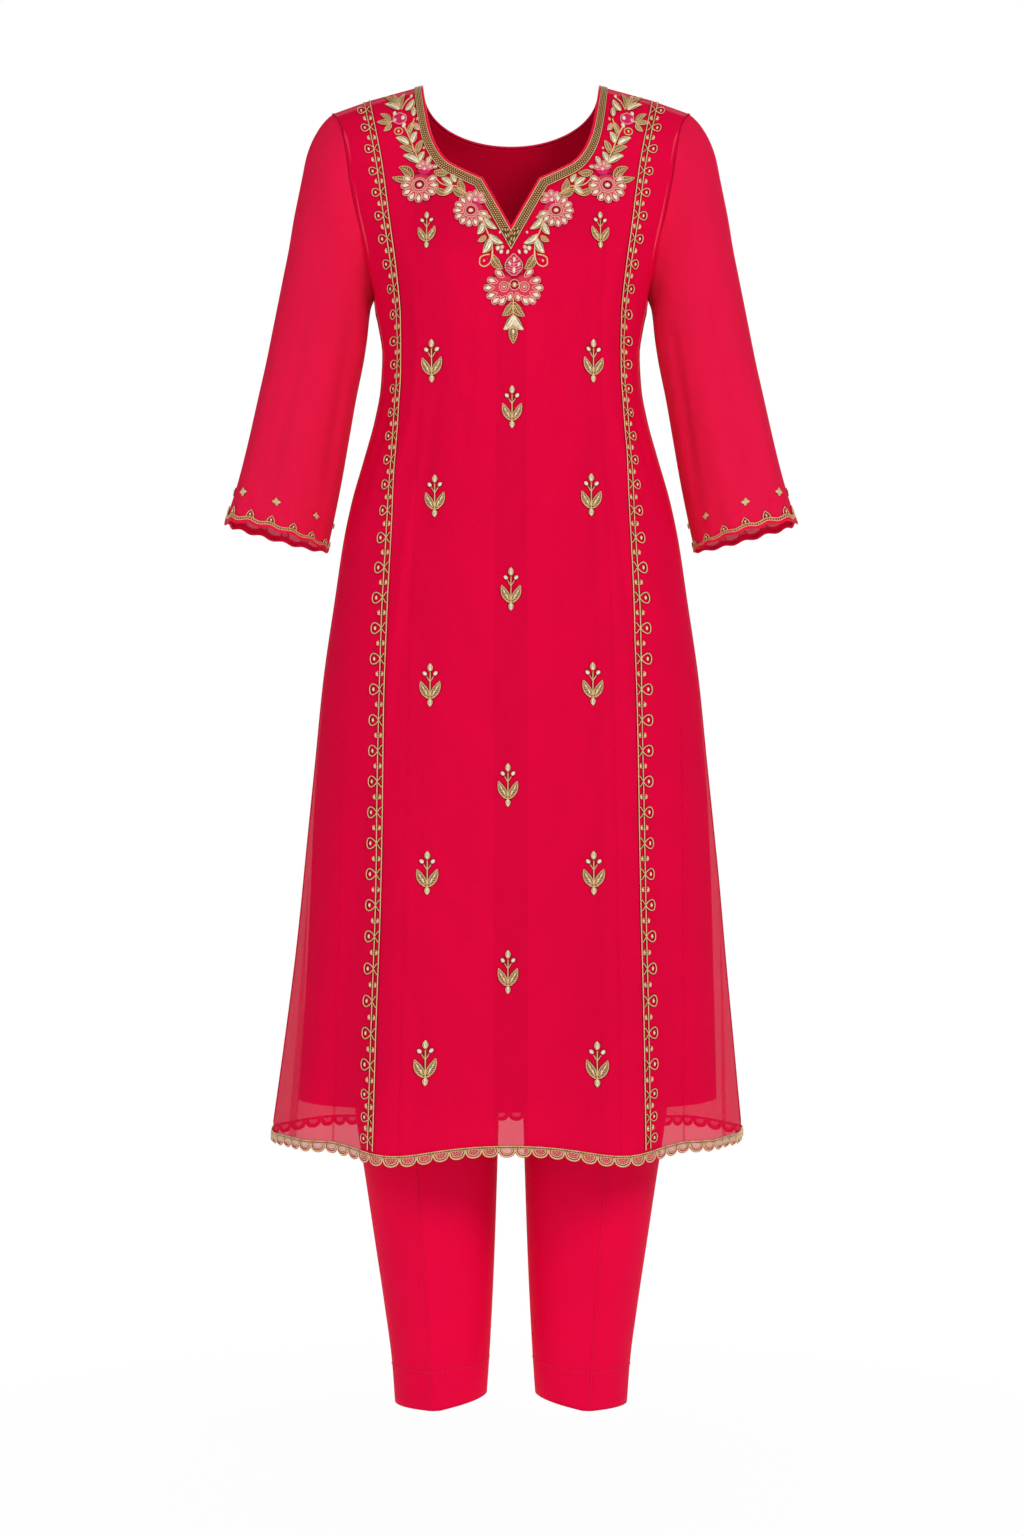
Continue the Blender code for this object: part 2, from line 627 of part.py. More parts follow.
def build_neck_piping(kameez):
    """Rolled binding all round the neck edge, sewn along the edge of the front and back."""
    edges = []
    for points, inward, neck in (
        (kameez.front, kameez.front_in, kameez.seam_front[1]),
        (kameez.back[:, ::-1], kameez.back_in[:, ::-1], kameez.seam_back[1]),
    ):
        middle = points.shape[1] // 2
        span = slice(middle - neck, middle + neck + 1)
        edges.append((points[0, span], inward[0, span], unit(points[0, span] - points[1, span])))
    centre = np.vstack([edge[0] for edge in edges])
    inward = np.vstack([edge[1] for edge in edges])
    keep = np.linalg.norm(centre - np.roll(centre, 1, axis=0), axis=1) > 2
    centre, inward = centre[keep], inward[keep]
    ahead = unit(np.roll(centre, -1, axis=0) - centre)
    behind = np.roll(ahead, 1, axis=0)
    towards = -centre * (1, 1, 0) + (0, 0, 40)
    sides = []
    for run in (behind, ahead):
        across = unit(np.cross(run, inward))
        sides.append(across * np.sign((across * towards).sum(axis=1, keepdims=True)))
    corner = 1 + (sides[0] * sides[1]).sum(axis=1, keepdims=True)
    mitre = (sides[0] + sides[1]) / np.maximum(corner, 0.4)
    middle = centre + inward * SHELL_WALL / 2 + mitre * (PIPING_RADIUS + SEAM * 2)
    clear = unit(mitre)
    out = unit(np.cross(clear, unit(ahead + behind)))
    angle = 2 * np.pi * np.arange(6) / 6
    sections = middle[:, None] + PIPING_RADIUS * (
        clear[:, None] * np.cos(angle)[:, None] + out[:, None] * np.sin(angle)[:, None]
    )
    add_object("neck_piping", *ring_mesh(sections), FABRIC_TINTS["piping"], turned_at=70)


BLOOMS = {
    "name":   ("bloom_centre", "bloom_left", "bloom_right", "bloom_side_left", "bloom_side_right"),
    "across": (1.9, -38.6, 43.4, -88.3, 89.3),
    "drop":   (216, 141.8, 141.8, 115, 115),
    "half_width": (27, 13, 13, 17, 17),
    "half_height": (23, 13, 13, 17, 17),
}


def build_bloom(name, x, drop, half_width, half_height, petals=6):
    """Padded flower on the front: a low dome with a petalled edge."""
    sides = petals * 2
    angle = 2 * np.pi * np.arange(sides) / sides
    edge = np.where(np.arange(sides) % 2 == 0, 1.0, 0.84)
    rings = np.array([1.0, 0.55])[:, None] * edge
    spots_x = x + half_width * rings * np.cos(angle)
    spots_drop = drop + half_height * rings * np.sin(angle)
    point, out = surface_frame(spots_x, spots_drop)
    centre, centre_out = surface_frame(np.array([x * 1.0]), np.array([drop * 1.0]))
    low = point + out * LIFT
    high = point + out * (LIFT + BLOOM_HEIGHT * np.array([0.45, 0.86])[:, None, None])
    tip = centre + centre_out * (LIFT + BLOOM_HEIGHT)
    points = np.vstack([high[0], high[1], tip, low[0], low[1], centre + centre_out * LIFT])
    index = np.arange(sides)
    ahead = np.roll(index, -1)
    faces = [[a, b, sides + b, sides + a] for a, b in zip(index, ahead)]
    faces += [[sides + a, sides + b, 2 * sides] for a, b in zip(index, ahead)]
    base = 2 * sides + 1
    under = [[base + c for c in face[::-1]] for face in faces]
    rim = [[b, a, base + a, base + b] for a, b in zip(index, ahead)]
    mesh = bpy.data.meshes.new(name)
    mesh.from_pydata((points * MM).tolist(), [], [[int(c) for c in f] for f in faces + under + rim])
    form = bmesh.new()
    form.from_mesh(mesh)
    bmesh.ops.triangulate(form, faces=form.faces)
    bmesh.ops.recalc_face_normals(form, faces=form.faces)
    form.to_mesh(mesh)
    form.free()
    mesh.shade_smooth()
    mesh.set_sharp_from_angle(angle=math.radians(50))
    mesh.materials.append(fabric(name, FABRIC_TINTS["bloom"], 0.6))
    bpy.context.scene.collection.objects.link(bpy.data.objects.new(name, mesh))


# ------------------------------------------------------------------ lining


def build_lining():
    """Front and back of the lining, inside the outer layer and standing off it towards the hem."""
    drops = (240, 267, 300, 345, 405, 480, 570, 680, 800, 910, LINING_HEM)
    body = Kameez(8, 1, 3, 5, 3, 6, drops, fold_share=0.25)
    for name, points, inward in (
        ("lining_front", body.front, body.front_in),
        ("lining_back", body.back, body.back_in),
    ):
        inset = smooth(LINING_INSET["drop"], LINING_INSET["inset"], -points[..., 2])
        inset[0] = LINING_EDGE_INSET
        for edge in (0, -1):
            points[: body.yoke + 1, edge, 0] *= 0.985
        points += inward * inset[..., None]
    body.open_seams()
    add_wall("lining_front", body.front, body.front + body.front_in * LINING_WALL, FABRIC_TINTS["lining"])
    add_wall("lining_back", body.back, body.back + body.back_in * LINING_WALL, FABRIC_TINTS["lining"])


# ------------------------------------------------------------------ trousers


def trouser(column, drop):
    return smooth(TROUSERS["drop"], TROUSERS[column], drop)


def trouser_half(face, drops, columns):
    """Right front or back of the trousers, from the centre seam and inseam round to the side seam.

    A row is an arc of a rounded oval. Above the fork the oval is the hips'. From the fork to the crotch its
    inner end comes in from the other hip to the middle, so the plane between the legs cuts it ever further
    back, along the crotch's curve. Below the crotch it is the leg's own oval.
    """
    drop = np.asarray(drops, float)[:, None]
    share = np.linspace(0, 1, columns + 1)[None, :]
    outer, depth = trouser("outer", drop), trouser("front" if face < 0 else "back", drop)
    sunk = np.clip((drop - FORK_START) / (CROTCH - FORK_START), 0, 1)
    inner = np.where(drop < CROTCH, -outer * (1 - sunk) / (1 + sunk), trouser("inner", drop))
    middle, half = (outer + inner) / 2, (outer - inner) / 2
    bend = SQUARENESS + (LEG_SQUARENESS - SQUARENESS) * np.clip((drop - FORK_START) / 160, 0, 1)
    first = -np.where(drop < CROTCH, np.arcsin(np.clip(middle / half, 0, 1) ** (bend / 2)), np.pi / 2)
    turn = first + (np.pi / 2 - first) * share
    x = middle + half * np.sign(np.sin(turn)) * np.abs(np.sin(turn)) ** (2 / bend)
    y = depth * np.clip(np.cos(turn), 0, 1) ** (2 / bend)
    crest = middle + CREASE_SHIFT * (outer - inner)
    y = y + trouser("crease", drop) * np.exp(-np.abs(x - crest) / 9)
    rise = 9 * np.clip((drop - 1200) / 112, 0, 1) * np.clip((middle - x) / half, 0, 1)
    return np.stack([x, face * y, rise - drop], axis=-1)


def build_trousers():
    """Front and back of each leg, meeting at the centre, side and inside seams."""
    fork = FORK_START + (CROTCH - FORK_START) * np.sin(np.linspace(0, 1, 6) * np.pi / 2)
    legs = (680, 790, 900, 1010, 1110, 1210, TROUSER_HEM)
    drops = np.concatenate([[WAIST_SEAM + SEAM, 370, 425], fork, legs])
    start = int(np.searchsorted(drops, CROTCH - 1))
    for face, part in ((-1, "front"), (1, "back")):
        grid = trouser_half(face, drops, 9)
        inward = -grid_normals(grid) if face < 0 else grid_normals(grid)
        inward[:, -1, 1] = 0
        inward[start:, 0, 1] = 0
        inward[:start, 0, 0] = 0
        inward = unit(inward)
        inward[start, 0] = unit(np.array([0.35, 0.0, 1.0]))
        grid[:, -1, 1] += face * SEAM / 2
        grid[start:, 0, 1] += face * SEAM / 2
        grid[: start + 1, 0, 0] = SEAM / 2
        inner = grid + inward * TROUSER_WALL
        inner[:start, 0, 0] = SEAM / 2
        for side, word in ((-1, "left"), (1, "right")):
            turned = np.array([side, 1, 1])
            a, b = grid * turned, inner * turned
            add_wall(f"trouser_{part}_{word}", a, b, FABRIC_TINTS["trouser"])


def build_waistband():
    """Closed band above the trousers' top edge."""
    angle = 2 * np.pi * np.arange(24) / 24
    rows = []
    for drop in (WAIST_TOP, WAIST_SEAM):
        outer = trouser("outer", drop)
        depth = np.where(np.cos(angle) > 0, trouser("front", drop), trouser("back", drop))
        x = outer * np.sign(np.sin(angle)) * np.abs(np.sin(angle)) ** (2 / SQUARENESS)
        y = -depth * np.sign(np.cos(angle)) * np.abs(np.cos(angle)) ** (2 / SQUARENESS)
        rows.append(np.stack([x, y, np.full(24, -drop)], axis=1))
    outer = np.stack(rows)
    inward = -unit(outer * (1, 1, 0))
    add_wall("trouser_waistband", outer, outer + inward * BAND_WALL, FABRIC_TINTS["trouser"], closed=True)


# ------------------------------------------------------------------ build


def clear_scene():
    for thing in list(bpy.data.objects):
        bpy.data.objects.remove(thing, do_unlink=True)


def build():
    clear_scene()
    drops = (240, 267, 295, 330, 372, 420, 475, 540, 610, 685, 760, 840, 915, 980, HEM)
    kameez = Kameez(8, 2, 5, 7, 4, 9, drops)
    sleeves = {side: mitre_armhole(kameez, side, SHELL_WALL) for side in (-1, 1)}
    kameez.open_seams()
    build_shell(kameez)
    for side, word in ((-1, "left"), (1, "right")):
        build_sleeve(f"sleeve_{word}", *sleeves[side])
        build_cuff(f"cuff_{word}", *sleeves[side])
        build_princess_braid(f"princess_braid_{word}", kameez, side)
    build_hem_lace("hem_lace_front", kameez.front, kameez.front_in, LACE_SCALLOPS_FRONT)
    build_hem_lace("hem_lace_back", kameez.back, kameez.back_in, LACE_SCALLOPS_BACK)
    build_neck_band()
    build_neck_piping(kameez)
    for row in zip(*(BLOOMS[key] for key in ("name", "across", "drop", "half_width", "half_height"))):
        build_bloom(*row)
    build_lining()
    build_trousers()
    build_waistband()


build()
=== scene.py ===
"""Salwar kameez suit: sheer georgette kameez over its lining, beaded trims and embroidery, creased trousers.

Lengths are in millimetres until a mesh is made, then in metres. X runs across the wearer, the front faces
-Y, Z is up, and "drop" is the distance below the shoulder points beside the neck. Cloth is a surface worked
out from a place across and a drop. Embroidery is laid out on a flat plan, across and up, and each plan is
then raised off the cloth that carries it.
"""

import math

import bpy
import numpy as np
from bpy.props import FloatProperty, FloatVectorProperty, IntProperty, PointerProperty
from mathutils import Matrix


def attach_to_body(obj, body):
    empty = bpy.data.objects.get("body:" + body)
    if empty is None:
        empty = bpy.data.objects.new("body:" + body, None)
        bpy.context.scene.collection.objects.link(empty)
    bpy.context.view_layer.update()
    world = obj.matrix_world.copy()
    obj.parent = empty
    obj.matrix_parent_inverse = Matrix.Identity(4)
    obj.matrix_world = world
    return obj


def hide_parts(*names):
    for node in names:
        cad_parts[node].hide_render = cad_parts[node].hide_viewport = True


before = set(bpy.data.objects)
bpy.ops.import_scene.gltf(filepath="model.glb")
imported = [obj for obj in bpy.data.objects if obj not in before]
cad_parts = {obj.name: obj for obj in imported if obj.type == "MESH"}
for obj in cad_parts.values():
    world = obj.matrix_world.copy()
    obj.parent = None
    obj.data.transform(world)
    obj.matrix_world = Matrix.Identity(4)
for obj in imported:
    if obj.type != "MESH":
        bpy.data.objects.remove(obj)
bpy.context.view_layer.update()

bl_info = {
    "name": "Salwar Kameez Suit",
    "version": (1, 0, 0),
    "blender": (4, 5, 0),
    "location": "3D View > Sidebar > Suit",
    "description": "Dresses the suit's solids in sheer cloth, lining, trims and embroidery",
    "category": "Object",
}

MM = 0.001
SIDES = ((-1, "left"), (1, "right"))
FACES = ((-1, "front"), (1, "back"))

# Kameez, landmarks down from the shoulder point beside the neck.
SHOULDER_TIP, ARMPIT = 27.0, 212.0
HEM, LINING_HEM = 1040.0, 1006.0
HEM_DIP, DIP_START = 0.28, 880.0   # how far a fold drops the hem, as a share of its height, and from where
NECK_HALF, BACK_NECK_DROP = 90.0, 46.0
SQUARENESS = 2.3      # exponent of the body's rounded section
ROLL = 60.0           # how far down the shoulder's rounding reaches
HOLE_FRONT, HOLE_BACK = 54.0, 50.0
BUST_SWELL, BUST_ACROSS, BUST_WIDTH = 9.0, 70.0, 36.0
BUST_DROP, BUST_HEIGHT = 192.0, 50.0

BODY = {
    "drop":       (0, 30, 60, 90, 120, 160, 190, 212, 240, 267, 300, 332, 372, 412, 452, 512, 592, 672,
                   772, 872, 972, 1034),
    "half_width": (137, 137, 137, 137, 137, 137, 137, 137, 131.8, 128, 129.7, 135.5, 146.5, 158, 166.5,
                   175.5, 187, 195, 205, 214.5, 225.5, 232.5),
    "front":      (52, 60, 70, 81, 93, 107, 113, 113, 108, 101, 96, 95, 98, 102, 106, 110, 116, 121,
                   128, 135, 144, 150),
    "back":       (52, 64, 75, 84, 91, 95, 94, 92, 87, 83, 82, 85, 92, 100, 106, 111, 114, 116,
                   119, 123, 128, 131),
}
SHOULDER = {"across": (0, 90, 141, 178), "drop": (-8, 0, 14, 27)}
ARMHOLE = {
    "drop":   (27, 44, 70, 95, 128, 162, 190, 204, 212),
    "across": (178, 168, 162.5, 159, 153, 145, 140.3, 138.2, 137),
}
PRINCESS = {
    "drop":   (14, 87, 147, 196, 242, 291, 326, 439, 539, 634, 807, 930, 1044),
    "across": (141, 126.2, 117.7, 110.9, 107.1, 107.3, 109.3, 115.2, 119.8, 121.4, 122.1, 123.3, 122.8),
}
NECK_POINT_DROP = 163.0   # where the neck's notch ends, on the centre front
FRONT_NECK = {
    "across": (28.5, 45.1, 62.8, 74.7, 81.2, 85.5, 88.9, 90),
    "drop":   (110, 101.6, 90.8, 74, 56, 33, 9, 0),
}
LINING_INSET = {
    "drop":  (0, 60, 212, 300, 592, 672, 712, 812, 912, 1006),
    "inset": (4.2, 3.4, 1.6, 1.3, 1.4, 1.8, 3.2, 8.5, 15, 21.5),
}

# Long soft folds of the skirt: degrees round from the centre front, height at the hem, width in degrees and
# the drop at which each begins.
FOLDS = {
    "around": (-157, -128, -108, -66, -54, -45, -24, 0, 23, 44, 55, 66, 104, 126, 150, 180),
    "height": (11, -7, 8, -1.2, 1.6, -2, 25, -3, 24, -2, 1.6, -1.2, 9, -8, 12, -6),
    "width":  (13, 9, 10, 5, 6, 4, 11, 8, 11, 4, 6, 5, 10, 9, 13, 9),
    "start":  (520, 560, 480, 560, 540, 540, 420, 500, 420, 540, 540, 560, 500, 540, 560, 520),
}
# Smaller creases of the kameez: where each is centred, how far it runs each way, its width in degrees, its
# height, and how many degrees it leans outward for each 100 mm down.
CREASES = {
    "around": (-43, -30, -15, 6, 17, 31, 45, -62, 60, -70, 72, -36, 38, 168, -165, 150, -148, -128, 132, 112,
               -110, 178),
    "drop":   (330, 420, 300, 395, 320, 440, 310, 300, 290, 200, 205, 640, 620, 330, 380, 300, 310, 560, 600,
               290, 300, 620),
    "length": (150, 190, 110, 130, 150, 200, 160, 110, 120, 60, 60, 240, 230, 190, 150, 160, 170, 260, 240,
               110, 100, 260),
    "width":  (3.5, 3, 2.2, 2.4, 2.6, 3, 3.4, 4, 4, 6, 6, 2.6, 2.4, 4, 4, 5, 5, 4, 4, 5, 5, 5),
    "height": (1.5, -1.2, -0.9, 1.05, -1.05, 1.2, 1.5, -1.95, -2.1, 2.25, 2.25, 1.65, -1.65, 2.4, -2.25,
               2.55, 2.4, -2.4, 2.7, -2.25, -2.25, 2.55),
    "lean":   (-1.5, -1.2, -0.6, 0.2, 0.8, 1.3, 1.5, -3, 3, -9, 9, -1, 1, -1, 1, -2, 2, 1, -1, -3, 3, 0),
}

# Tucks of sheer cloth at the sides: place across at the start and at the hem, width there, the drop at which
# each starts, and how far it lies off the panel.
TUCKS = {
    "first": (-164.5, 166.5, -201, 208), "last": (-168.5, 169, -211, 214),
    "wide_first": (0.8, 0.8, 1, 1), "wide_last": (2.4, 2.4, 10, 5.5),
    "start": (640, 640, 790, 800), "lift": (0.5, 0.5, -1.5, -1.5),
}
# The skirt hangs a little to one side: how far at the hem's side, and the drop at which that begins.
SWAY, SWAY_START, HEM_HALF = -4.5, 800.0, 230.0

# Sleeves: the outer edge from the shoulder tip to the cuff, and the inner edge from the armpit.
SLEEVE_OUTER = {
    "drop":   (27, 32, 42, 57, 72, 87, 102, 132, 162, 192, 222, 252, 272, 312, 352, 392, 433),
    "across": (178, 184, 192, 200, 205, 208, 211, 217, 222, 228, 234, 240, 244, 253, 262, 272, 284.5),
}
SLEEVE_INNER = {
    "drop":   (212, 222, 252, 272, 312, 352, 392, 432, 462),
    "across": (137, 140.5, 144, 147, 155, 162, 169, 177, 183.5),
}
SLEEVE_HALF_DEPTH = {
    "along": (0, 0.1, 0.3, 0.6, 1),
    "front": (54, 57, 54, 50, 50),
    "back":  (50, 53, 51, 48, 46),
}
CUFF_RISE = 4.0       # how much higher the cuff is in front than in the middle
CAP_FADE = 0.3        # share of a sleeve over which it leaves the armhole's loop
FOLD_FADE = 0.12      # share of a sleeve over which its folds begin
# Lengthwise folds of a sleeve: degrees round from the outer edge through the front, the share of its length
# where each is centred, how far it runs, its width in degrees, its height, and its turn in degrees.
SLEEVE_FOLDS = {
    "around": (42, 74, 104, 138, 160, 208, 246, 282, 322),
    "along":  (0.95, 0.62, 0.98, 0.55, 0.16, 0.7, 0.95, 0.45, 0.9),
    "length": (0.5, 0.36, 0.5, 0.34, 0.16, 0.36, 0.5, 0.3, 0.45),
    "width":  (12, 9, 11, 10, 9, 12, 13, 11, 13),
    "height": (2.8, -2.8, 3.2, -3.4, 2.6, 2.8, -3.2, 2.6, 3.0),
    "turn":   (4, -6, -8, 12, 22, -10, 6, -8, 4),
}

# Trousers.
WAIST_TOP, WAIST_SEAM = 283.0, 322.0
FORK_START, CROTCH, TROUSER_HEM = 478.0, 590.0, 1312.0
LEG_SQUARENESS = 2.08
TROUSERS = {
    "drop":   (283, 322, 372, 412, 452, 512, 592, 700, 800, 900, 1018, 1092, 1152, 1212, 1272, 1312),
    "outer":  (122.6, 127.4, 139.5, 150.5, 159, 167, 170, 171, 169, 165, 156, 145, 136, 127, 119, 116),
    "inner":  (0, 0, 0, 0, 0, 0, 0, 2.5, 5.5, 8.5, 11.8, 14, 16, 18.5, 21.5, 24),
    "front":  (84, 84, 86, 90, 94, 96, 91, 84, 77, 71, 66, 61, 56, 52, 47, 45),
    "back":   (72.5, 74.5, 79.5, 85, 90, 95, 94.5, 88, 78, 73, 72, 68, 62, 56, 51, 49),
    "crease": (0, 0, 0, 0, 0, 0, 0.2, 1, 2, 3, 3.6, 4, 4, 4, 4, 4),
}
CREASE_SHIFT = 0.09   # how far each crease lies outside the middle of its leg, as a share of its width
CREASE_SWELL, CREASE_WIDTH = 1.5, 15.0
CREASE_TOP = 760.0    # where the creases' cords begin
HEM_LIFT, HEM_LIFT_START = 9.0, 1200.0   # how far the hem rises towards the inseam, and where that begins
TURN_UP = 38.0        # depth of the trousers' turned-up hem
GATHERS, GATHER_DEPTH = 60, 0.7   # of the waistband
# Soft breaks of a trouser leg: share across from the inseam to the side, drop, width, height and rise of the
# break across the leg.
LEG_BREAKS = {
    "across": (0.2, 0.75, 0.35, 0.85, 0.3, 0.7, 0.5, 0.15, 0.6),
    "drop":   (640, 690, 800, 950, 1040, 1100, 1180, 1215, 1265),
    "reach":  (0.3, 0.25, 0.3, 0.25, 0.3, 0.3, 0.35, 0.2, 0.25),
    "width":  (16, 20, 26, 24, 22, 20, 16, 14, 12),
    "height": (-1.6, 1.4, -1.2, 1.2, -1.4, 1.2, -1.0, 0.9, -0.8),
    "rise":   (40, -30, 30, -40, 30, -30, 20, 24, -20),
}

# Trims.
LACE_SCALLOPS = {"front": 41, "back": 38}
LACE_TOP = 1.6        # where the arches of the hem's lace begin, below the cloth's edge
CUFF_SCALLOPS = 14
CUFF_SHIFT = {-1: -5.8, 1: 0.2}   # where the first scallop starts on each cuff
# Drops of the princess borders' loops, and places of the sprigs above the cuffs: round from the inner side
# and up.
LOOP_DROPS = (30.5, 51, 73.7, 96.9, 118.6, 141.8, 164.4, 188.7, 212.1, 236, 260.8, 283.5, 307.4, 331.3, 355,
              378.9, 403.6, 429.3, 456.1, 485.2, 514.7, 544.4, 574.2, 603.9, 633.7, 663.4, 693.1, 722.8,
              752.5, 782.1, 811.8, 841.6, 872.3, 902.8, 932.7, 961.6, 988.5, 1009, 1028)
FULL_LOOP = 29.0      # spacing at which a loop has its full size
SPRIGS = {"around": (2, 42, 80, 118, 157, 196, 235, 281), "up": (40, 38, 34, 31, 29.5, 29.5, 31, 37.5)}
NECK_BAND_WIDTH = 11.0
# Share of the band's width at each drop, and how far the princess borders are drawn in.
BAND_TAPER = {"drop": (0, 50, 72, 95, 110), "share": (0.56, 0.66, 0.74, 0.8, 0.83)}
BORDER_TAPER = {"drop": (60, 140, 230, 430, 520), "share": (1.05, 1, 0.8, 0.8, 1)}
BORDER_CORD = 5.3     # from the seam's cord to the second cord of a princess border
PIPING_RADIUS, PIPING_OUT = 1.35, 1.2   # the neck piping, and how far its middle stands off the neck's edge
ARMHOLE_CORD, SIDE_CORD = 1.0, 0.75     # radii of the seams' cords
BEAD_LINE = 2.3       # from bead to bead of the neck band
HEM_STITCH = 4.4      # from stitch to stitch of the trousers' hem


# ------------------------------------------------------------------ numbers along curves


def smooth(xs, ys, x):
    """Value at x of a curve through the table's points: cubic pieces whose slope at a point is the harmonic
    mean of its neighbours' slopes, so that the curve never overshoots."""
    xs, ys = np.asarray(xs, float), np.asarray(ys, float)
    step = np.diff(xs)
    slope = np.diff(ys) / step
    before, after = slope[:-1], slope[1:]
    rising = before * after > 0
    total = np.where(rising, before + after, 1)
    middle = np.where(rising, 2 * before * after / total, 0)
    tangent = np.concatenate([slope[:1], middle, slope[-1:]])
    x = np.clip(x, xs[0], xs[-1])
    k = np.clip(np.searchsorted(xs, x, side="right") - 1, 0, len(step) - 1)
    h = step[k]
    t = (x - xs[k]) / h
    rest = 1 - t
    start = ys[k] * (1 + 2 * t) * rest**2 + tangent[k] * h * t * rest**2
    return start + ys[k + 1] * t * t * (3 - 2 * t) - tangent[k + 1] * h * t * t * rest


def unit(v):
    """Vectors of length 1."""
    return v / np.maximum(np.linalg.norm(v, axis=-1, keepdims=True), 1e-9)


def leftward(v):
    """Flat vectors turned a quarter turn to the left."""
    return np.stack([-v[..., 1], v[..., 0]], axis=-1)


def heading(turn):
    """Flat direction at an angle from straight across."""
    return np.array([math.cos(turn), math.sin(turn)])


def circle(parts):
    """Angles spaced evenly round a full turn."""
    return 2 * np.pi * np.arange(parts) / parts


def level(across, up):
    """Places on a flat plan, from how far across and how far up. Either may be one number for all."""
    return np.stack(np.broadcast_arrays(np.asarray(across, float), up), axis=1)


def along_line(line):
    """Distance along a line at each of its points."""
    return np.concatenate([[0], np.cumsum(np.linalg.norm(np.diff(line, axis=0), axis=1))])


def columns(table, *names):
    return [np.asarray(table[name], float) for name in names]


def read(table, column, at, by="drop"):
    """Value of a table's column on the smooth curve through its rows."""
    return smooth(table[by], table[column], at)


# ------------------------------------------------------------------ the kameez's surface


def shoulder_drop(x):
    return np.interp(np.abs(x), SHOULDER["across"], SHOULDER["drop"])


def armhole_x(drop):
    return read(ARMHOLE, "across", drop)


def princess_x(drop):
    return read(PRINCESS, "across", drop)


def roll(below_shoulder):
    """Quarter circle over the shoulder: 0 on the shoulder line, 1 from ROLL below it."""
    share = np.clip(below_shoulder / ROLL, 0, 1)
    return np.sqrt(1 - (1 - share) ** 2)


def body_depth(drop, face):
    return read(BODY, "front" if face < 0 else "back", drop)


def edge_reach(drop, face):
    """Half width of the section. Above the armpit it is the width that carries it through the armhole."""
    depth = body_depth(drop, face)
    hole = HOLE_FRONT if face < 0 else HOLE_BACK
    share = np.clip((drop - SHOULDER_TIP) / (ARMPIT - SHOULDER_TIP), 0.004, 1)
    edge = hole * 2 * np.sqrt(share * (1 - share))
    height = depth * roll(share * (ARMPIT - SHOULDER_TIP))
    bend = (1 - (edge / height) ** SQUARENESS) ** (1 / SQUARENESS)
    below = read(BODY, "half_width", drop)
    return np.where(drop < ARMPIT, armhole_x(drop) / bend, below)


def folds(angle, drop):
    """Sum of bell-shaped folds round the skirt, each growing from its start to the hem, and of short
    creases that are bell-shaped across and flat-topped along."""
    around, height, width, start = columns(FOLDS, "around", "height", "width", "start")
    away = (angle[..., None] - around + 180) % 360 - 180
    grown = np.clip((drop[..., None] - start) / (HEM - start), 0, 1.1) ** 1.5
    long = (height * grown * np.exp(-((away / width) ** 2))).sum(axis=-1)
    around, at, length, width, height, lean = columns(
        CREASES, "around", "drop", "length", "width", "height", "lean"
    )
    down = drop[..., None] - at
    away = (angle[..., None] - around - lean * down / 100 + 180) % 360 - 180
    return long, (height * np.exp(-((away / width) ** 2) - (down / length) ** 4)).sum(axis=-1)


def body_point(x, drop, face, fold_share=1.0):
    """Point of the kameez at a distance across and a drop. The section is a rounded oval, its depth and
    width from BODY, rolled over at the shoulder and swelled at the bust. Folds push it along its normal."""
    x, drop = np.broadcast_arrays(np.asarray(x, float), np.asarray(drop, float))
    depth = body_depth(drop, face)
    wide = edge_reach(drop, face)
    share = np.clip(np.abs(x) / wide, 0, 1)
    if face < 0:
        aside, below = (np.abs(x) - BUST_ACROSS) / BUST_WIDTH, (drop - BUST_DROP) / BUST_HEIGHT
        depth = depth + BUST_SWELL * np.exp(-(aside**2) - below**2)
    curve = (1 - share**SQUARENESS) ** (1 / SQUARENESS)
    y = depth * curve * roll(drop - shoulder_drop(x))
    turn = np.degrees(np.arcsin(share ** (SQUARENESS / 2)))
    around = np.sign(x) * (turn if face < 0 else 180 - turn)
    long, small = folds(around, drop)
    lift = (long + small * np.clip((drop - 90) / 80, 0, 1)) * fold_share
    across = unit(np.stack([share ** (SQUARENESS - 1) / wide, curve ** (SQUARENESS - 1) / depth], axis=-1))
    sway = SWAY * np.clip((drop - SWAY_START) / (HEM - SWAY_START), 0, 1.1) ** 1.3 * (x / HEM_HALF) ** 2
    dip = HEM_DIP * long * fold_share * np.clip((drop - DIP_START) / (HEM - DIP_START), 0, 1)
    out_x, out_y = np.sign(x) * across[..., 0] * lift, across[..., 1] * lift
    return np.stack([x + sway + out_x, face * (y + out_y), -drop - dip], axis=-1)


def body_outward(x, drop, face, fold_share=1.0, step=0.8):
    """Outward direction of the kameez, from its slopes over a short step each way."""
    x, drop = np.broadcast_arrays(np.asarray(x, float), np.asarray(drop, float))
    across = body_point(x + step, drop, face, fold_share) - body_point(x - step, drop, face, fold_share)
    down = body_point(x, drop + step, face, fold_share) - body_point(x, drop - step, face, fold_share)
    return -face * unit(np.cross(down, across))


def turn_to_x(turn, wide):
    return wide * np.sin(turn) ** (2 / SQUARENESS)


def x_to_turn(x, wide):
    return np.arcsin(np.clip(x / wide, 0, 1) ** (SQUARENESS / 2))


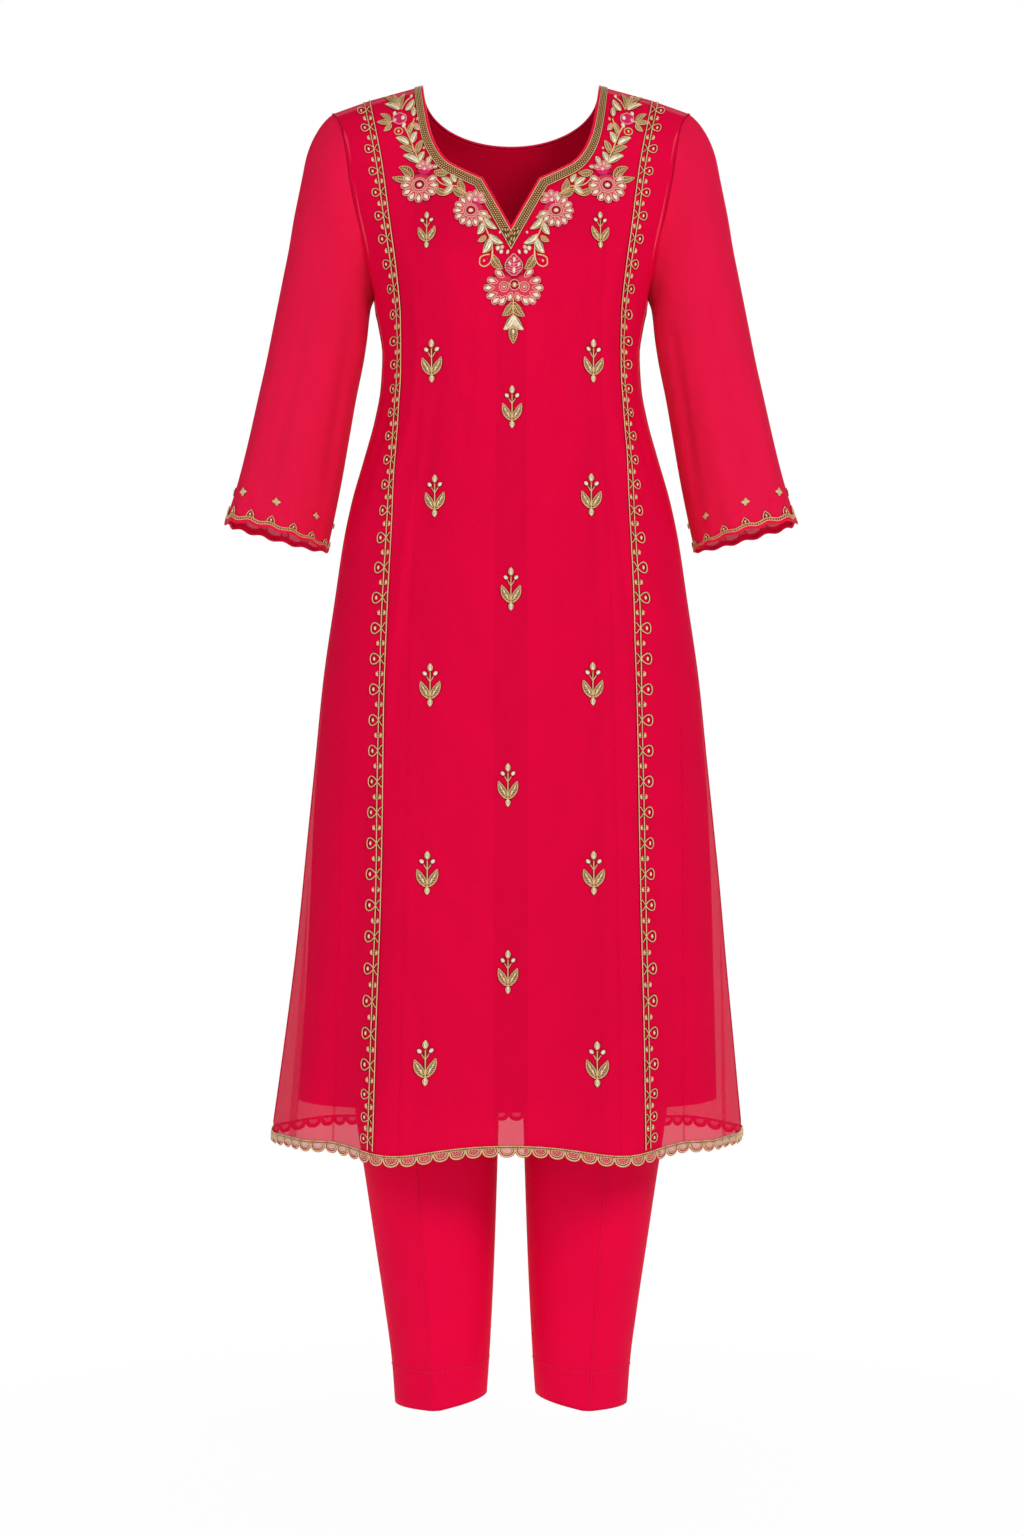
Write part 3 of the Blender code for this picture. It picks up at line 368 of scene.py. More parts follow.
def front_neck(straight, curved):
    """Right half of the front neckline: a straight side of the notch, then a smooth curve to the shoulder."""
    notch = np.linspace(0, 1, straight, endpoint=False)
    index = np.linspace(0, len(FRONT_NECK["drop"]) - 1, curved)
    places = np.arange(len(FRONT_NECK["drop"]))
    x = np.concatenate([FRONT_NECK["across"][0] * notch, smooth(places, FRONT_NECK["across"], index)])
    fall = NECK_POINT_DROP + (FRONT_NECK["drop"][0] - NECK_POINT_DROP) * notch
    return x, np.concatenate([fall, smooth(places, FRONT_NECK["drop"], index)])


def back_neck(parts):
    x = NECK_HALF * np.sin(np.linspace(0, 1, parts) * np.pi / 2)
    return x, BACK_NECK_DROP * np.sqrt(np.clip(1 - (x / NECK_HALF) ** 2, 0, 1))


def column_lattice(tops, x_of, shares, drops):
    """Across and drop at each row and column. A column starts at its top and eases to its place in x_of."""
    top_x, top_drop = tops
    share = shares[:, None]
    drop = top_drop + (ARMPIT - top_drop) * share
    x = x_of(drop) + (top_x - x_of(top_drop)) * (1 - share) ** 2
    below = np.broadcast_to(np.asarray(drops, float)[:, None], (len(drops), len(top_x)))
    return np.vstack([x, x_of(below)]), np.vstack([drop, below])


def both_sides(x, drop):
    """A half lattice and its mirror image, from the left to the right."""
    return np.hstack([-x[:, :0:-1], x]), np.hstack([drop[:, :0:-1], drop])


def kameez_lattices(density, hem):
    """Across and drop of the half centre front, the side front and the half back. Rows crowd together at
    both ends of the yoke, and are even from the armpit to the hem."""
    shares = (1 - np.cos(np.pi * np.linspace(0, 1, int(42 * density)))) / 2
    drops = np.linspace(ARMPIT, hem, int(190 * density))[1:]
    neck_x, neck_drop = front_neck(int(8 * density), int(42 * density))
    more = np.linspace(NECK_HALF, PRINCESS["across"][0], int(12 * density))[1:]
    tops = np.concatenate([neck_x, more]), np.concatenate([neck_drop, shoulder_drop(more)])
    even = np.linspace(0, 1, len(tops[0]))
    centre = column_lattice(tops, lambda drop: even * princess_x(drop), shares, drops)

    across_side = np.linspace(0, 1, int(38 * density))

    def side_x(drop):
        wide = edge_reach(drop, -1)
        first = x_to_turn(princess_x(drop), wide)
        last = np.where(drop < ARMPIT, x_to_turn(armhole_x(drop), wide), np.pi / 2)
        return turn_to_x(first + (last - first) * across_side, wide)

    top_drop = np.linspace(PRINCESS["drop"][0], SHOULDER_TIP, len(across_side))
    for _ in range(6):
        top_drop = shoulder_drop(side_x(top_drop))
    side = column_lattice((side_x(top_drop), top_drop), side_x, shares, drops)

    neck_x, neck_drop = back_neck(int(40 * density))
    more = np.linspace(NECK_HALF, ARMHOLE["across"][0], int(24 * density))[1:]
    tops = np.concatenate([neck_x, more]), np.concatenate([neck_drop, shoulder_drop(more)])
    across_back = np.linspace(0, 1, len(tops[0]))

    def back_x(drop):
        wide = edge_reach(drop, 1)
        last = np.where(drop < ARMPIT, x_to_turn(armhole_x(drop), wide), np.pi / 2)
        return turn_to_x(last * across_back, wide)

    return centre, side, column_lattice(tops, back_x, shares, drops)


# ------------------------------------------------------------------ sleeves and trousers


def sleeve_point(side, angle, along):
    """Point of a sleeve at an angle round from its outer edge, in radians, and a share of its length. Each
    ring is an oval between the outer and inner edges, drawn to the armhole's loop near the top."""
    angle, along = np.broadcast_arrays(np.asarray(angle, float), np.asarray(along, float))
    share = (1 - np.cos(angle)) / 2
    hole_drop = SHOULDER_TIP + (ARMPIT - SHOULDER_TIP) * share
    outer_drop = SHOULDER_TIP + (SLEEVE_OUTER["drop"][-1] - SHOULDER_TIP) * along
    inner_drop = ARMPIT + (SLEEVE_INNER["drop"][-1] - ARMPIT) * along
    outer_x = read(SLEEVE_OUTER, "across", outer_drop)
    inner_x = read(SLEEVE_INNER, "across", inner_drop)
    front = np.sin(angle) >= 0
    depths = [read(SLEEVE_HALF_DEPTH, word, along, "along") for word in ("front", "back")]
    half_depth = np.where(front, -depths[0], depths[1])
    around, at, length, width, height, turn = columns(
        SLEEVE_FOLDS, "around", "along", "length", "width", "height", "turn"
    )
    down = along[..., None] - at
    away = (np.degrees(angle)[..., None] - around - turn * down + 180) % 360 - 180
    lift = (height * np.exp(-((away / width) ** 2) - (down / length) ** 2)).sum(axis=-1)
    lift = lift * np.clip(along / FOLD_FADE, 0, 1)
    bulge = np.stack([-np.cos(angle), np.abs(np.sin(angle))], axis=-1) * lift[..., None]
    x = outer_x + (inner_x - outer_x) * share - bulge[..., 0]
    y = half_depth * np.abs(np.sin(angle)) + np.where(front, -1, 1) * bulge[..., 1]
    rise = CUFF_RISE * np.sin(angle) * along**3 * np.where(front, 1, 0.2)
    drop = outer_drop + (inner_drop - outer_drop) * share - rise
    hole = np.where(front, -HOLE_FRONT, HOLE_BACK) * np.abs(np.sin(angle))
    fade = np.clip(1 - along / CAP_FADE, 0, 1) ** 2
    start_x = SLEEVE_OUTER["across"][0] + (SLEEVE_INNER["across"][0] - SLEEVE_OUTER["across"][0]) * share
    x = x + (armhole_x(hole_drop) - start_x) * fade
    start_y = np.where(front, -SLEEVE_HALF_DEPTH["front"][0], SLEEVE_HALF_DEPTH["back"][0])
    y = y + (hole - start_y * np.abs(np.sin(angle))) * fade
    return np.stack([side * x, y, -drop], axis=-1)


def trouser(column, drop):
    return read(TROUSERS, column, drop)


def leg_point(share, drop, face):
    """Point of the right leg's front or back at a share across, from the centre seam or inseam to the side.

    A row is an arc of a rounded oval. Above the fork the oval is the hips'. From the fork to the crotch its
    inner end comes in from the other hip to the middle, so the plane between the legs cuts it ever further
    back. Below the crotch it is the leg's own oval, with a pressed crease and soft breaks.
    """
    share, drop = np.broadcast_arrays(np.asarray(share, float), np.asarray(drop, float))
    outer, depth = trouser("outer", drop), trouser("front" if face < 0 else "back", drop)
    sunk = np.clip((drop - FORK_START) / (CROTCH - FORK_START), 0, 1)
    inner = np.where(drop < CROTCH, -outer * (1 - sunk) / (1 + sunk), trouser("inner", drop))
    middle, half = (outer + inner) / 2, (outer - inner) / 2
    bend = SQUARENESS + (LEG_SQUARENESS - SQUARENESS) * np.clip((drop - FORK_START) / 160, 0, 1)
    first = -np.where(drop < CROTCH, np.arcsin(np.clip(middle / half, 0, 1) ** (bend / 2)), np.pi / 2)
    turn = first + (np.pi / 2 - first) * share
    x = middle + half * np.sign(np.sin(turn)) * np.abs(np.sin(turn)) ** (2 / bend)
    y = depth * np.clip(np.cos(turn), 0, 1) ** (2 / bend)
    crest = middle + CREASE_SHIFT * (outer - inner)
    y = y + CREASE_SWELL * trouser("crease", drop) * np.exp(-np.abs(x - crest) / CREASE_WIDTH)
    at, level, reach, width, height, rise = columns(
        LEG_BREAKS, "across", "drop", "reach", "width", "height", "rise"
    )
    away = share[..., None] - at
    down = drop[..., None] - level - rise * away
    soft = (height * np.exp(-((down / width) ** 2) - (away / reach) ** 2)).sum(axis=-1)
    y = y + soft * np.clip(np.cos(turn), 0, 1) ** 0.5
    low = np.clip((drop - HEM_LIFT_START) / (TROUSER_HEM - HEM_LIFT_START), 0, 1)
    lift = HEM_LIFT * low * np.clip((middle - x) / half, 0, 1)
    return np.stack([x, face * y, lift - drop], axis=-1)


# ------------------------------------------------------------------ meshes


def grid_faces(rows, cols, closed=False, joined=False):
    """Corner numbers of a grid's quads, which face out where rows run down and columns to the right. A closed
    grid's rows are rings, and a joined one's last row meets its first."""
    index = np.arange(rows * cols).reshape(rows, cols)
    index = np.vstack([index, index[:1]]) if joined else index
    right = np.roll(index, -1, axis=1) if closed else index[:, 1:]
    left = index if closed else index[:, :-1]
    return np.stack([left[:-1], left[1:], right[1:], right[:-1]], axis=-1).reshape(-1, 4)


def corner_places(places):
    """A grid's flat places, given at each of its quads' four corners."""
    corners = [places[:-1, :-1], places[1:, :-1], places[1:, 1:], places[:-1, 1:]]
    return np.stack(corners, axis=2).reshape(-1, 4, places.shape[-1])


def flat_places(grid):
    """Place of each point on the flat cloth: how far along its row from the middle, and how far down."""
    across = np.linalg.norm(np.diff(grid, axis=1), axis=-1)
    down = np.linalg.norm(np.diff(grid, axis=0), axis=-1)
    u = np.concatenate([np.zeros((len(grid), 1)), np.cumsum(across, axis=1)], axis=1)
    v = np.concatenate([np.zeros((1, grid.shape[1])), np.cumsum(down, axis=0)], axis=0)
    middle = u[:, grid.shape[1] // 2, None]
    return np.stack([u - middle, v], axis=-1)


def add_mesh(name, points, faces, places, materials, finish=None):
    """Smooth mesh object from points in millimetres, quads, flat places at their corners and a material
    number for each quad."""
    mesh = bpy.data.meshes.new(name)
    mesh.vertices.add(len(points))
    mesh.vertices.foreach_set("co", (np.asarray(points) * MM).astype(np.float32).ravel())
    mesh.loops.add(faces.size)
    mesh.loops.foreach_set("vertex_index", faces.astype(np.int32).ravel())
    mesh.polygons.add(len(faces))
    mesh.polygons.foreach_set("loop_start", np.arange(0, faces.size, 4, dtype=np.int32))
    if finish is not None:
        mesh.polygons.foreach_set("material_index", finish.astype(np.int32))
    mesh.update(calc_edges=True)
    layer = mesh.uv_layers.new(name="UVMap")
    layer.uv.foreach_set("vector", (places * MM).astype(np.float32).ravel())
    for material in materials:
        mesh.materials.append(material)
    mesh.shade_smooth()
    if mesh.validate():
        raise RuntimeError(f"{name}: the mesh needed mending")
    piece = bpy.data.objects.new(name, mesh)
    bpy.context.scene.collection.objects.link(piece)
    return piece


def add_cloth(name, grid, material, nodes, closed=False, wall=0.0):
    """Cloth piece over a grid. A closed grid's rows are rings. A wall thickens it inward."""
    rows, cols = grid.shape[:2]
    wrapped = np.concatenate([grid, grid[:, :1]], axis=1) if closed else grid
    places = corner_places(flat_places(wrapped))
    piece = add_mesh(name, grid.reshape(-1, 3), grid_faces(rows, cols, closed), places, [material])
    if wall:
        thicken = piece.modifiers.new("Cloth", "SOLIDIFY")
        thicken.thickness = wall * MM
        thicken.offset = -1
    attach(piece, nodes)
    return piece


def attach(piece, nodes):
    """Puts a piece on the suit's one body, in place of its solids."""
    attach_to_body(piece, "root")
    if nodes:
        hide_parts(*nodes)


# ------------------------------------------------------------------ stitching


# The shade thread in this list is painted shadow: a dark loft laid round raised stitches, where their shadow
# falls on the cloth.
FINISHES = (
    "antique_gold", "pale_gold", "cream_bead", "magenta_thread", "pink_thread", "rose_thread", "red_cord",
    "dark_gold", "shade_thread", "net",
)
ANTIQUE, PALE, CREAM, MAGENTA, PINK, ROSE, RED, DARK, SHADE, NET = range(len(FINISHES))


class Stitching:
    """Threads, cords, beads and leaves laid out on a flat plan, as one mesh. A point is how far across, how
    far up and how far off the cloth."""

    def __init__(self):
        self.points, self.faces, self.places, self.finish = [], [], [], []
        self.count = 0

    def add(self, points, faces, places, finish):
        self.points.append(points)
        self.faces.append(faces + self.count)
        self.places.append(places)
        self.finish.append(finish)
        self.count += len(points)

    def merged(self):
        return [np.concatenate(part) for part in (self.points, self.faces, self.places, self.finish)]

    def loft(self, line, half_width, height, finish, sides=6, closed=False, base=0.0):
        """A cord or leaf along a line. Its section is an oval that rests on its base: as wide as twice the
        half width, and as high as the height. Each of these is one number or one for each point."""
        line = np.asarray(line, float)
        if closed:
            run = np.roll(line, -1, axis=0) - np.roll(line, 1, axis=0)
        else:
            run = np.gradient(line, axis=0)
        across = leftward(unit(run))
        turn = circle(sides)
        half_width, height, base = (np.broadcast_to(v, len(line)) for v in (half_width, height, base))
        spread = (half_width[:, None] * np.cos(turn))[..., None] * across[:, None]
        rise = base[:, None] + height[:, None] * (0.5 + 0.5 * np.sin(turn))
        points = np.concatenate([line[:, None] + spread, rise[..., None]], axis=2)
        rings = np.arange(len(line) * sides).reshape(len(line), sides)
        ahead = np.roll(rings, -1, axis=0) if closed else rings[1:]
        here = rings if closed else rings[:-1]
        faces = np.stack(
            [here, np.roll(here, -1, axis=1), np.roll(ahead, -1, axis=1), ahead], axis=-1
        ).reshape(-1, 4)
        along = along_line(np.vstack([line, line[:1]]))
        girth = 2.2 * max(float(half_width.max()), 0.1)
        first = along[:-1] if closed else along[: len(line) - 1]
        last = along[1:] if closed else along[1 : len(line)]
        v = np.stack([first, first, last, last], axis=-1)[:, None].repeat(sides, axis=1)
        around = np.arange(sides) / sides * girth
        more = around + girth / sides
        u = np.stack([around, more, more, around], axis=-1)[None].repeat(len(first), axis=0)
        places = np.stack([u, v], axis=-1).reshape(-1, 4, 2)
        if not closed:
            fan = np.array([[0, k, k + 1, k + 2] for k in range(1, sides - 2, 2)])
            faces = np.vstack([faces, rings[0][fan[:, ::-1]], rings[-1][fan]])
            places = np.concatenate([places, np.zeros((2 * len(fan), 4, 2))])
        self.add(points.reshape(-1, 3), faces, places, np.full(len(faces), finish))

    def cord(self, line, width, finish, height=None, sides=6, closed=False, base=0.0):
        """A cord of that width, nearly as high as it is wide unless its height is given."""
        self.loft(line, width / 2, width * 0.9 if height is None else height, finish, sides, closed, base)

    def cord_over_painted_shadow(self, line, width, finish, closed=False, base=0.0):
        """A cord laid over a wider, darker loft that is painted shadow round it."""
        self.loft(line, width / 2 + 0.42, 0.4, SHADE, 4, closed, base)
        self.cord(line, width, finish, sides=4, closed=closed, base=base + 0.2)

    def bead(self, at, finish, radius=1.0, long=None, height=None, turn=0.0, base=0.0):
        """A rounded bead: its half width follows a circle along its length."""
        long = radius if long is None else long
        share = np.sin(np.linspace(-0.46, 0.46, 5) * np.pi)
        round_off = np.sqrt(1 - share**2)
        line = np.asarray(at, float) + share[:, None] * long * heading(turn)
        full = 1.6 * radius if height is None else height
        self.loft(line, radius * round_off, full * (0.35 + 0.65 * round_off), finish, base=base)

    def leaf(self, base, tip, wide, finish, bend=0.0, height=1.2, rings=9, edge=PALE):
        """A leaf from its base to its tip, bowed to one side: a low ground, a cord round its edge and, on
        top, a padded heart or a midrib with veins."""
        base, tip = np.asarray(base, float), np.asarray(tip, float)
        share = np.linspace(0, 1, rings)
        reach = tip - base
        line = base + share[:, None] * reach + (4 * bend * share * (1 - share))[:, None] * leftward(reach)
        across = leftward(unit(np.gradient(line, axis=0)))
        swell = np.sin(np.pi * np.clip(share, 0.03, 0.985) ** 0.85) ** 0.8
        half = wide / 2 * swell
        plain = finish in (CREAM, PINK)
        ground = finish if finish in (ROSE, MAGENTA) else DARK if plain else ANTIQUE
        # Painted shadow: a wider dark loft round the leaf.
        self.loft(line, half + 1.0, 0.35, SHADE, 6)
        self.loft(line, half * 0.95, height * (0.3 + 0.4 * swell), ground, 8, base=0.1)
        loop = np.vstack([line + across * half[:, None], (line - across * half[:, None])[::-1]])
        self.cord(loop, 0.85, edge, sides=4, closed=True, base=0.3)
        if plain:
            self.loft(line, half * 0.7, 0.3 + height * 1.2 * swell, finish, 8, base=0.2)
            self.cord(line[2:-2], 0.5, ANTIQUE, height=0.5, sides=4, base=height * 1.3)
            return
        self.cord(line[1:-1], 0.75, edge, height=0.6, sides=4, base=height * 0.65)
        for k in range(1, rings - 2):
            for way in (-1, 1):
                end = line[k + 1] + across[k + 1] * half[k + 1] * 0.9 * way
                self.cord(np.linspace(line[k], end, 3), 0.6, edge, height=0.5, sides=4, base=height * 0.6)

    def drop(self, at, long, wide, turn, finish=CREAM, height=2.0, base=0.5):
        """A padded teardrop, round at its far end."""
        share = np.linspace(0, 1, 7)
        line = np.asarray(at, float) + (share[:, None] - 0.5) * long * heading(turn)
        swell = np.sin(np.pi * np.clip(share, 0.04, 0.97) ** 1.25)
        self.loft(line, wide / 2 * swell, height * (0.3 + 0.7 * swell), finish, 6, base=base)

    def petal(self, at, turn, long, wide, drop=CREAM, edge=PINK, ground=ROSE):
        """A petal centred on a place: a cord loop, narrow at its near end, over a ground, round a drop."""
        ahead = heading(turn)
        side = leftward(ahead)
        around = circle(16)
        taper = 0.72 - 0.28 * np.cos(around)
        a, b = -long / 2 * np.cos(around), wide / 2 * np.sin(around) * taper * 1.25
        at = np.asarray(at, float)
        line = at + np.linspace(-0.5, 0.5, 6)[:, None] * long * ahead
        spread = wide / 2 * np.array([0.5, 0.8, 1, 1.05, 0.9, 0.4])
        # Painted shadow: a wider dark loft round the petal.
        self.loft(line, spread + 1.0, 0.35, SHADE, 6)
        self.loft(line, spread, 0.9, ground, 6, base=0.1)
        self.cord(at + a[:, None] * ahead + b[:, None] * side, 0.75, edge, sides=4, closed=True, base=0.6)
        self.drop(at + ahead * long * 0.07, long * 0.7, wide * 0.68, turn, drop)

    def ring(self, at, radius_a, radius_b, width, finish, parts=24, wave=0.0, lobes=0, base=0.0):
        """A closed cord round an oval, its radius swelling and shrinking in lobes."""
        turn = circle(parts)
        swell = 1 + wave * np.abs(np.sin(lobes * turn / 2)) if lobes else np.ones(parts)
        spot = level(radius_a * swell * np.cos(turn), radius_b * swell * np.sin(turn))
        self.cord(np.asarray(at, float) + spot, width, finish, sides=4, closed=True, base=base)

    def ground(self, at, radius_a, radius_b, height, finish, rings=9, base=0.0):
        """A low padded oval below other stitches."""
        share = np.sin(np.linspace(-0.48, 0.48, rings) * np.pi)
        round_off = np.sqrt(1 - share**2)
        line = level(share * radius_a, 0) + np.asarray(at, float)
        self.loft(line, radius_b * round_off, height * round_off**0.5, finish, 8, base=base)

    def stamp(self, shape, at, scale=1.0, mirror=False):
        """Copies of a shape at several places, each scaled and, where mirrored, flipped across."""
        points, faces, places, finish = shape.merged()
        at = np.atleast_2d(np.asarray(at, float))
        count = len(at)
        mirror = np.broadcast_to(mirror, count)
        scale = np.broadcast_to(np.asarray(scale, float), count) if np.ndim(scale) < 2 else scale
        scale = scale[:, None] * np.ones(3) if scale.ndim == 1 else scale
        for flipped in (False, True):
            chosen = np.flatnonzero(mirror == flipped)
            if not len(chosen):
                continue
            sized = points[None] * scale[chosen][:, None] * ((-1, 1, 1) if flipped else (1, 1, 1))
            sized[..., :2] += at[chosen][:, None]
            numbers = faces[:, ::-1] if flipped else faces
            corners = places[:, ::-1] if flipped else places
            offset = np.arange(len(chosen))[:, None, None] * len(points)
            self.add(
                sized.reshape(-1, 3),
                (numbers[None] + offset).reshape(-1, 4),
                np.tile(corners, (len(chosen), 1, 1)),
                np.tile(finish, len(chosen)),
            )


def sew_on(name, stitching, surface, finishes, nodes, mirrored=False, lift=0.3):
    """Raises a flat plan off its surface: each point goes to its place there, then out by its height."""
    points, faces, places, finish = stitching.merged()
    spot, outward = surface(points[:, 0], points[:, 1])
    raised = spot + outward * (points[:, 2:] + lift)
    used, index = np.unique(finish, return_inverse=True)
    if mirrored:
        faces, places = faces[:, ::-1], places[:, ::-1]
    materials = [finishes[FINISHES[number]] for number in used]
    piece = add_mesh(name, raised, faces, places, materials, index.reshape(-1))
    attach(piece, nodes)
    return piece


# ------------------------------------------------------------------ places for stitching


def trouser_leg(side, face):
    """Surface whose plan runs across a leg from its pressed crease, and up it, below the crotch."""

    def surface(a, b):
        drop = -b
        outer, inner = trouser("outer", drop), trouser("inner", drop)
        middle, half = (outer + inner) / 2, (outer - inner) / 2
        x = middle + CREASE_SHIFT * (outer - inner) + a
        reach = np.clip(np.abs(x - middle) / half, 0, 1) ** (LEG_SQUARENESS / 2)
        share = 0.5 + np.sign(x - middle) * np.arcsin(reach) / np.pi
        return leg_place(side, face, share, drop)

    return surface


def trouser_row(side, face, level):
    """Surface whose plan runs along one row of a leg, from the inseam to the side, and up from there."""
    share = np.linspace(0, 1, 301)
    distance = along_line(leg_point(share, np.full(301, level), face))

    def surface(a, b):
        return leg_place(side, face, np.interp(a, distance, share), level - b)

    return surface, distance[-1]


def leg_place(side, face, share, drop):
    """Point of a leg and its outward direction, from its slopes over short steps."""
    share = np.clip(share, 0.003, 0.997)
    across = leg_point(share + 0.003, drop, face) - leg_point(share - 0.003, drop, face)
    down = leg_point(share, drop + 1, face) - leg_point(share, drop - 1, face)
    return leg_point(share, drop, face) * (side, 1, 1), unit(np.cross(down, across)) * -face * (side, 1, 1)


def on_front(a, b):
    return body_point(a, -b, -1), body_outward(a, -b, -1)


def neck_edge(face):
    """Neckline as across and drop, from the right shoulder round to the left."""
    x, drop = front_neck(12, 60) if face < 0 else back_neck(50)
    right = level(x, drop)
    return np.vstack([right[::-1], right[1:] * (-1, 1)])


def away_from_neck(line):
    """Direction away from the opening at each point of a neckline, mitred at its corners."""
    turned = -leftward(unit(np.diff(line, axis=0)))
    first, last = np.vstack([turned[:1], turned]), np.vstack([turned, turned[-1:]])
    middle = first + last
    away = middle * 2 / np.maximum((middle**2).sum(axis=1, keepdims=True), 0.8)
    outward = np.sign((away * (line - (0, 60))).sum())
    return away * outward


def on_neck_band(line, away, face=-1):
    """Surface whose plan runs along the neckline and away from it. The band narrows to the shoulders."""
    distance = along_line(line)
    away = away * np.interp(line[:, 1], *columns(BAND_TAPER, "drop", "share"))[:, None]

    def surface(a, b):
        x = np.interp(a, distance, line[:, 0]) + b * np.interp(a, distance, away[:, 0])
        drop = np.interp(a, distance, line[:, 1]) + b * np.interp(a, distance, away[:, 1])
        drop = np.maximum(drop, shoulder_drop(x) + 2.5)
        return body_point(x, drop, face), body_outward(x, drop, face)

    return surface, distance[-1]


def on_princess_seam(side):
    """Surface whose plan runs out from a princess seam and up it, drawn in at the waist."""

    taper = columns(BORDER_TAPER, "drop", "share")

    def surface(a, b):
        x = side * (princess_x(-b) + a * np.interp(-b, *taper))
        return body_point(x, -b, -1), body_outward(x, -b, -1)

    return surface


def on_hem(face):
    """Surface whose plan runs along the hem, from left to right as its face is seen, and up."""
    turn = np.linspace(-np.pi / 2, np.pi / 2, 1401)
    wide = edge_reach(np.array([HEM]), face)
    x = np.sign(turn) * turn_to_x(np.abs(turn), wide) * -face
    edge = body_point(x, np.full_like(x, HEM), face)
    above = body_point(x, np.full_like(x, HEM - 6), face)
    distance = along_line(edge)
    up = unit(above - edge)
    outward = unit(np.cross(np.gradient(edge, axis=0), up))

    def surface(a, b):
        spot = [np.interp(a, distance, edge[:, k]) for k in range(3)]
        rise = [np.interp(a, distance, up[:, k]) for k in range(3)]
        out = [np.interp(a, distance, outward[:, k]) for k in range(3)]
        spot, rise, out = (np.stack(v, axis=-1) for v in (spot, rise, out))
        return spot + rise * b[:, None], unit(out)

    return surface, distance[-1]


def on_cuff(side):
    """Surface whose plan runs round the cuff's edge from its inner side, and up the sleeve. Below the edge
    it goes straight on."""
    angle = np.linspace(-np.pi, np.pi, 721)
    ring = sleeve_point(1, angle, np.ones_like(angle))
    distance = along_line(ring)
    length = 415.0

    def surface(a, b):
        turn = np.interp(a, distance, angle)
        along = 1 - b / length
        step = 0.004

        def place(angle, along):
            inside = np.minimum(along, 1)
            end = sleeve_point(side, angle, np.ones_like(inside))
            slope = (end - sleeve_point(side, angle, np.full_like(inside, 1 - step))) / step
            return sleeve_point(side, angle, inside) + slope * (along - inside)[:, None]

        spot = place(turn, along)
        across = place(turn + 0.01, along) - place(turn - 0.01, along)
        up = place(turn, along - step) - place(turn, along + step)
        return spot, unit(np.cross(across, up)) * -side

    return surface, distance[-1]


# ------------------------------------------------------------------ finishes


class Value:
    """A number socket of a shader. Sums and products with it are written as with numbers."""

    def __init__(self, shader, socket):
        self.shader, self.socket = shader, socket

    def __add__(self, other):
        return self.shader.math("ADD", self, other)

    def __sub__(self, other):
        return self.shader.math("SUBTRACT", self, other)

    def __rsub__(self, other):
        return self.shader.math("SUBTRACT", other, self)

    def __mul__(self, other):
        return self.shader.math("MULTIPLY", self, other)

    def __abs__(self):
        return self.shader.math("ABSOLUTE", self)

    def wave(self, period):
        """A sine wave of that period, from -1 to 1."""
        return self.shader.math("SINE", self * (2 * math.pi / period))

    def clipped(self):
        return self.shader.node("ShaderNodeClamp", {}, {0: self}, 0)


class Shader:
    """A material under construction, with a Principled surface."""

    def __init__(self, name):
        self.material = bpy.data.materials.new(name)
        self.material.use_nodes = True
        self.tree = self.material.node_tree
        self.tree.nodes.clear()
        self.surface = self.tree.nodes.new("ShaderNodeBsdfPrincipled")
        output = self.tree.nodes.new("ShaderNodeOutputMaterial")
        self.tree.links.new(self.surface.outputs[0], output.inputs[0])

    def feed(self, socket, value):
        if isinstance(value, Value):
            self.tree.links.new(value.socket, socket)
        elif isinstance(value, bpy.types.NodeSocket):
            self.tree.links.new(value, socket)
        else:
            socket.default_value = value

    def node(self, kind, settings, sockets, output=None):
        made = self.tree.nodes.new(kind)
        for name, value in settings.items():
            setattr(made, name, value)
        for key, value in sockets.items():
            self.feed(made.inputs[key], value)
        return made if output is None else Value(self, made.outputs[output])

    def math(self, operation, first, second=0.0):
        return self.node("ShaderNodeMath", {"operation": operation}, {0: first, 1: second}, 0)

    def flat(self):
        """Across and down of the flat cloth, in metres, and both as one vector."""
        vector = self.node("ShaderNodeUVMap", {"uv_map": "UVMap"}, {}).outputs[0]
        parts = self.node("ShaderNodeSeparateXYZ", {}, {0: vector})
        return Value(self, parts.outputs[0]), Value(self, parts.outputs[1]), vector

    def noise(self, vector, size, detail=2.0, roughness=0.5):
        """Cloudy noise from 0 to 1, its patches about that many millimetres wide."""
        sockets = {"Vector": vector, "Scale": 1000 / size, "Detail": detail, "Roughness": roughness}
        return self.node("ShaderNodeTexNoise", {}, sockets, 0)

    def mix(self, factor, first, second):
        """A colour between two others."""
        sockets = {0: factor, 6: first, 7: second}
        made = self.node("ShaderNodeMix", {"data_type": "RGBA"}, sockets)
        return made.outputs[2]

    def bump(self, height, distance):
        sockets = {"Height": height, "Distance": distance * MM, "Strength": 1.0}
        return self.node("ShaderNodeBump", {}, sockets).outputs[0]

    def finish(self, **sockets):
        for name, value in sockets.items():
            self.feed(self.surface.inputs[name.replace("_", " ")], value)
        return self.material


def shade(colour, share):
    """A colour made darker or lighter, as the four numbers a socket takes."""
    return tuple(min(c * share, 1.0) for c in colour[:3]) + (1.0,)


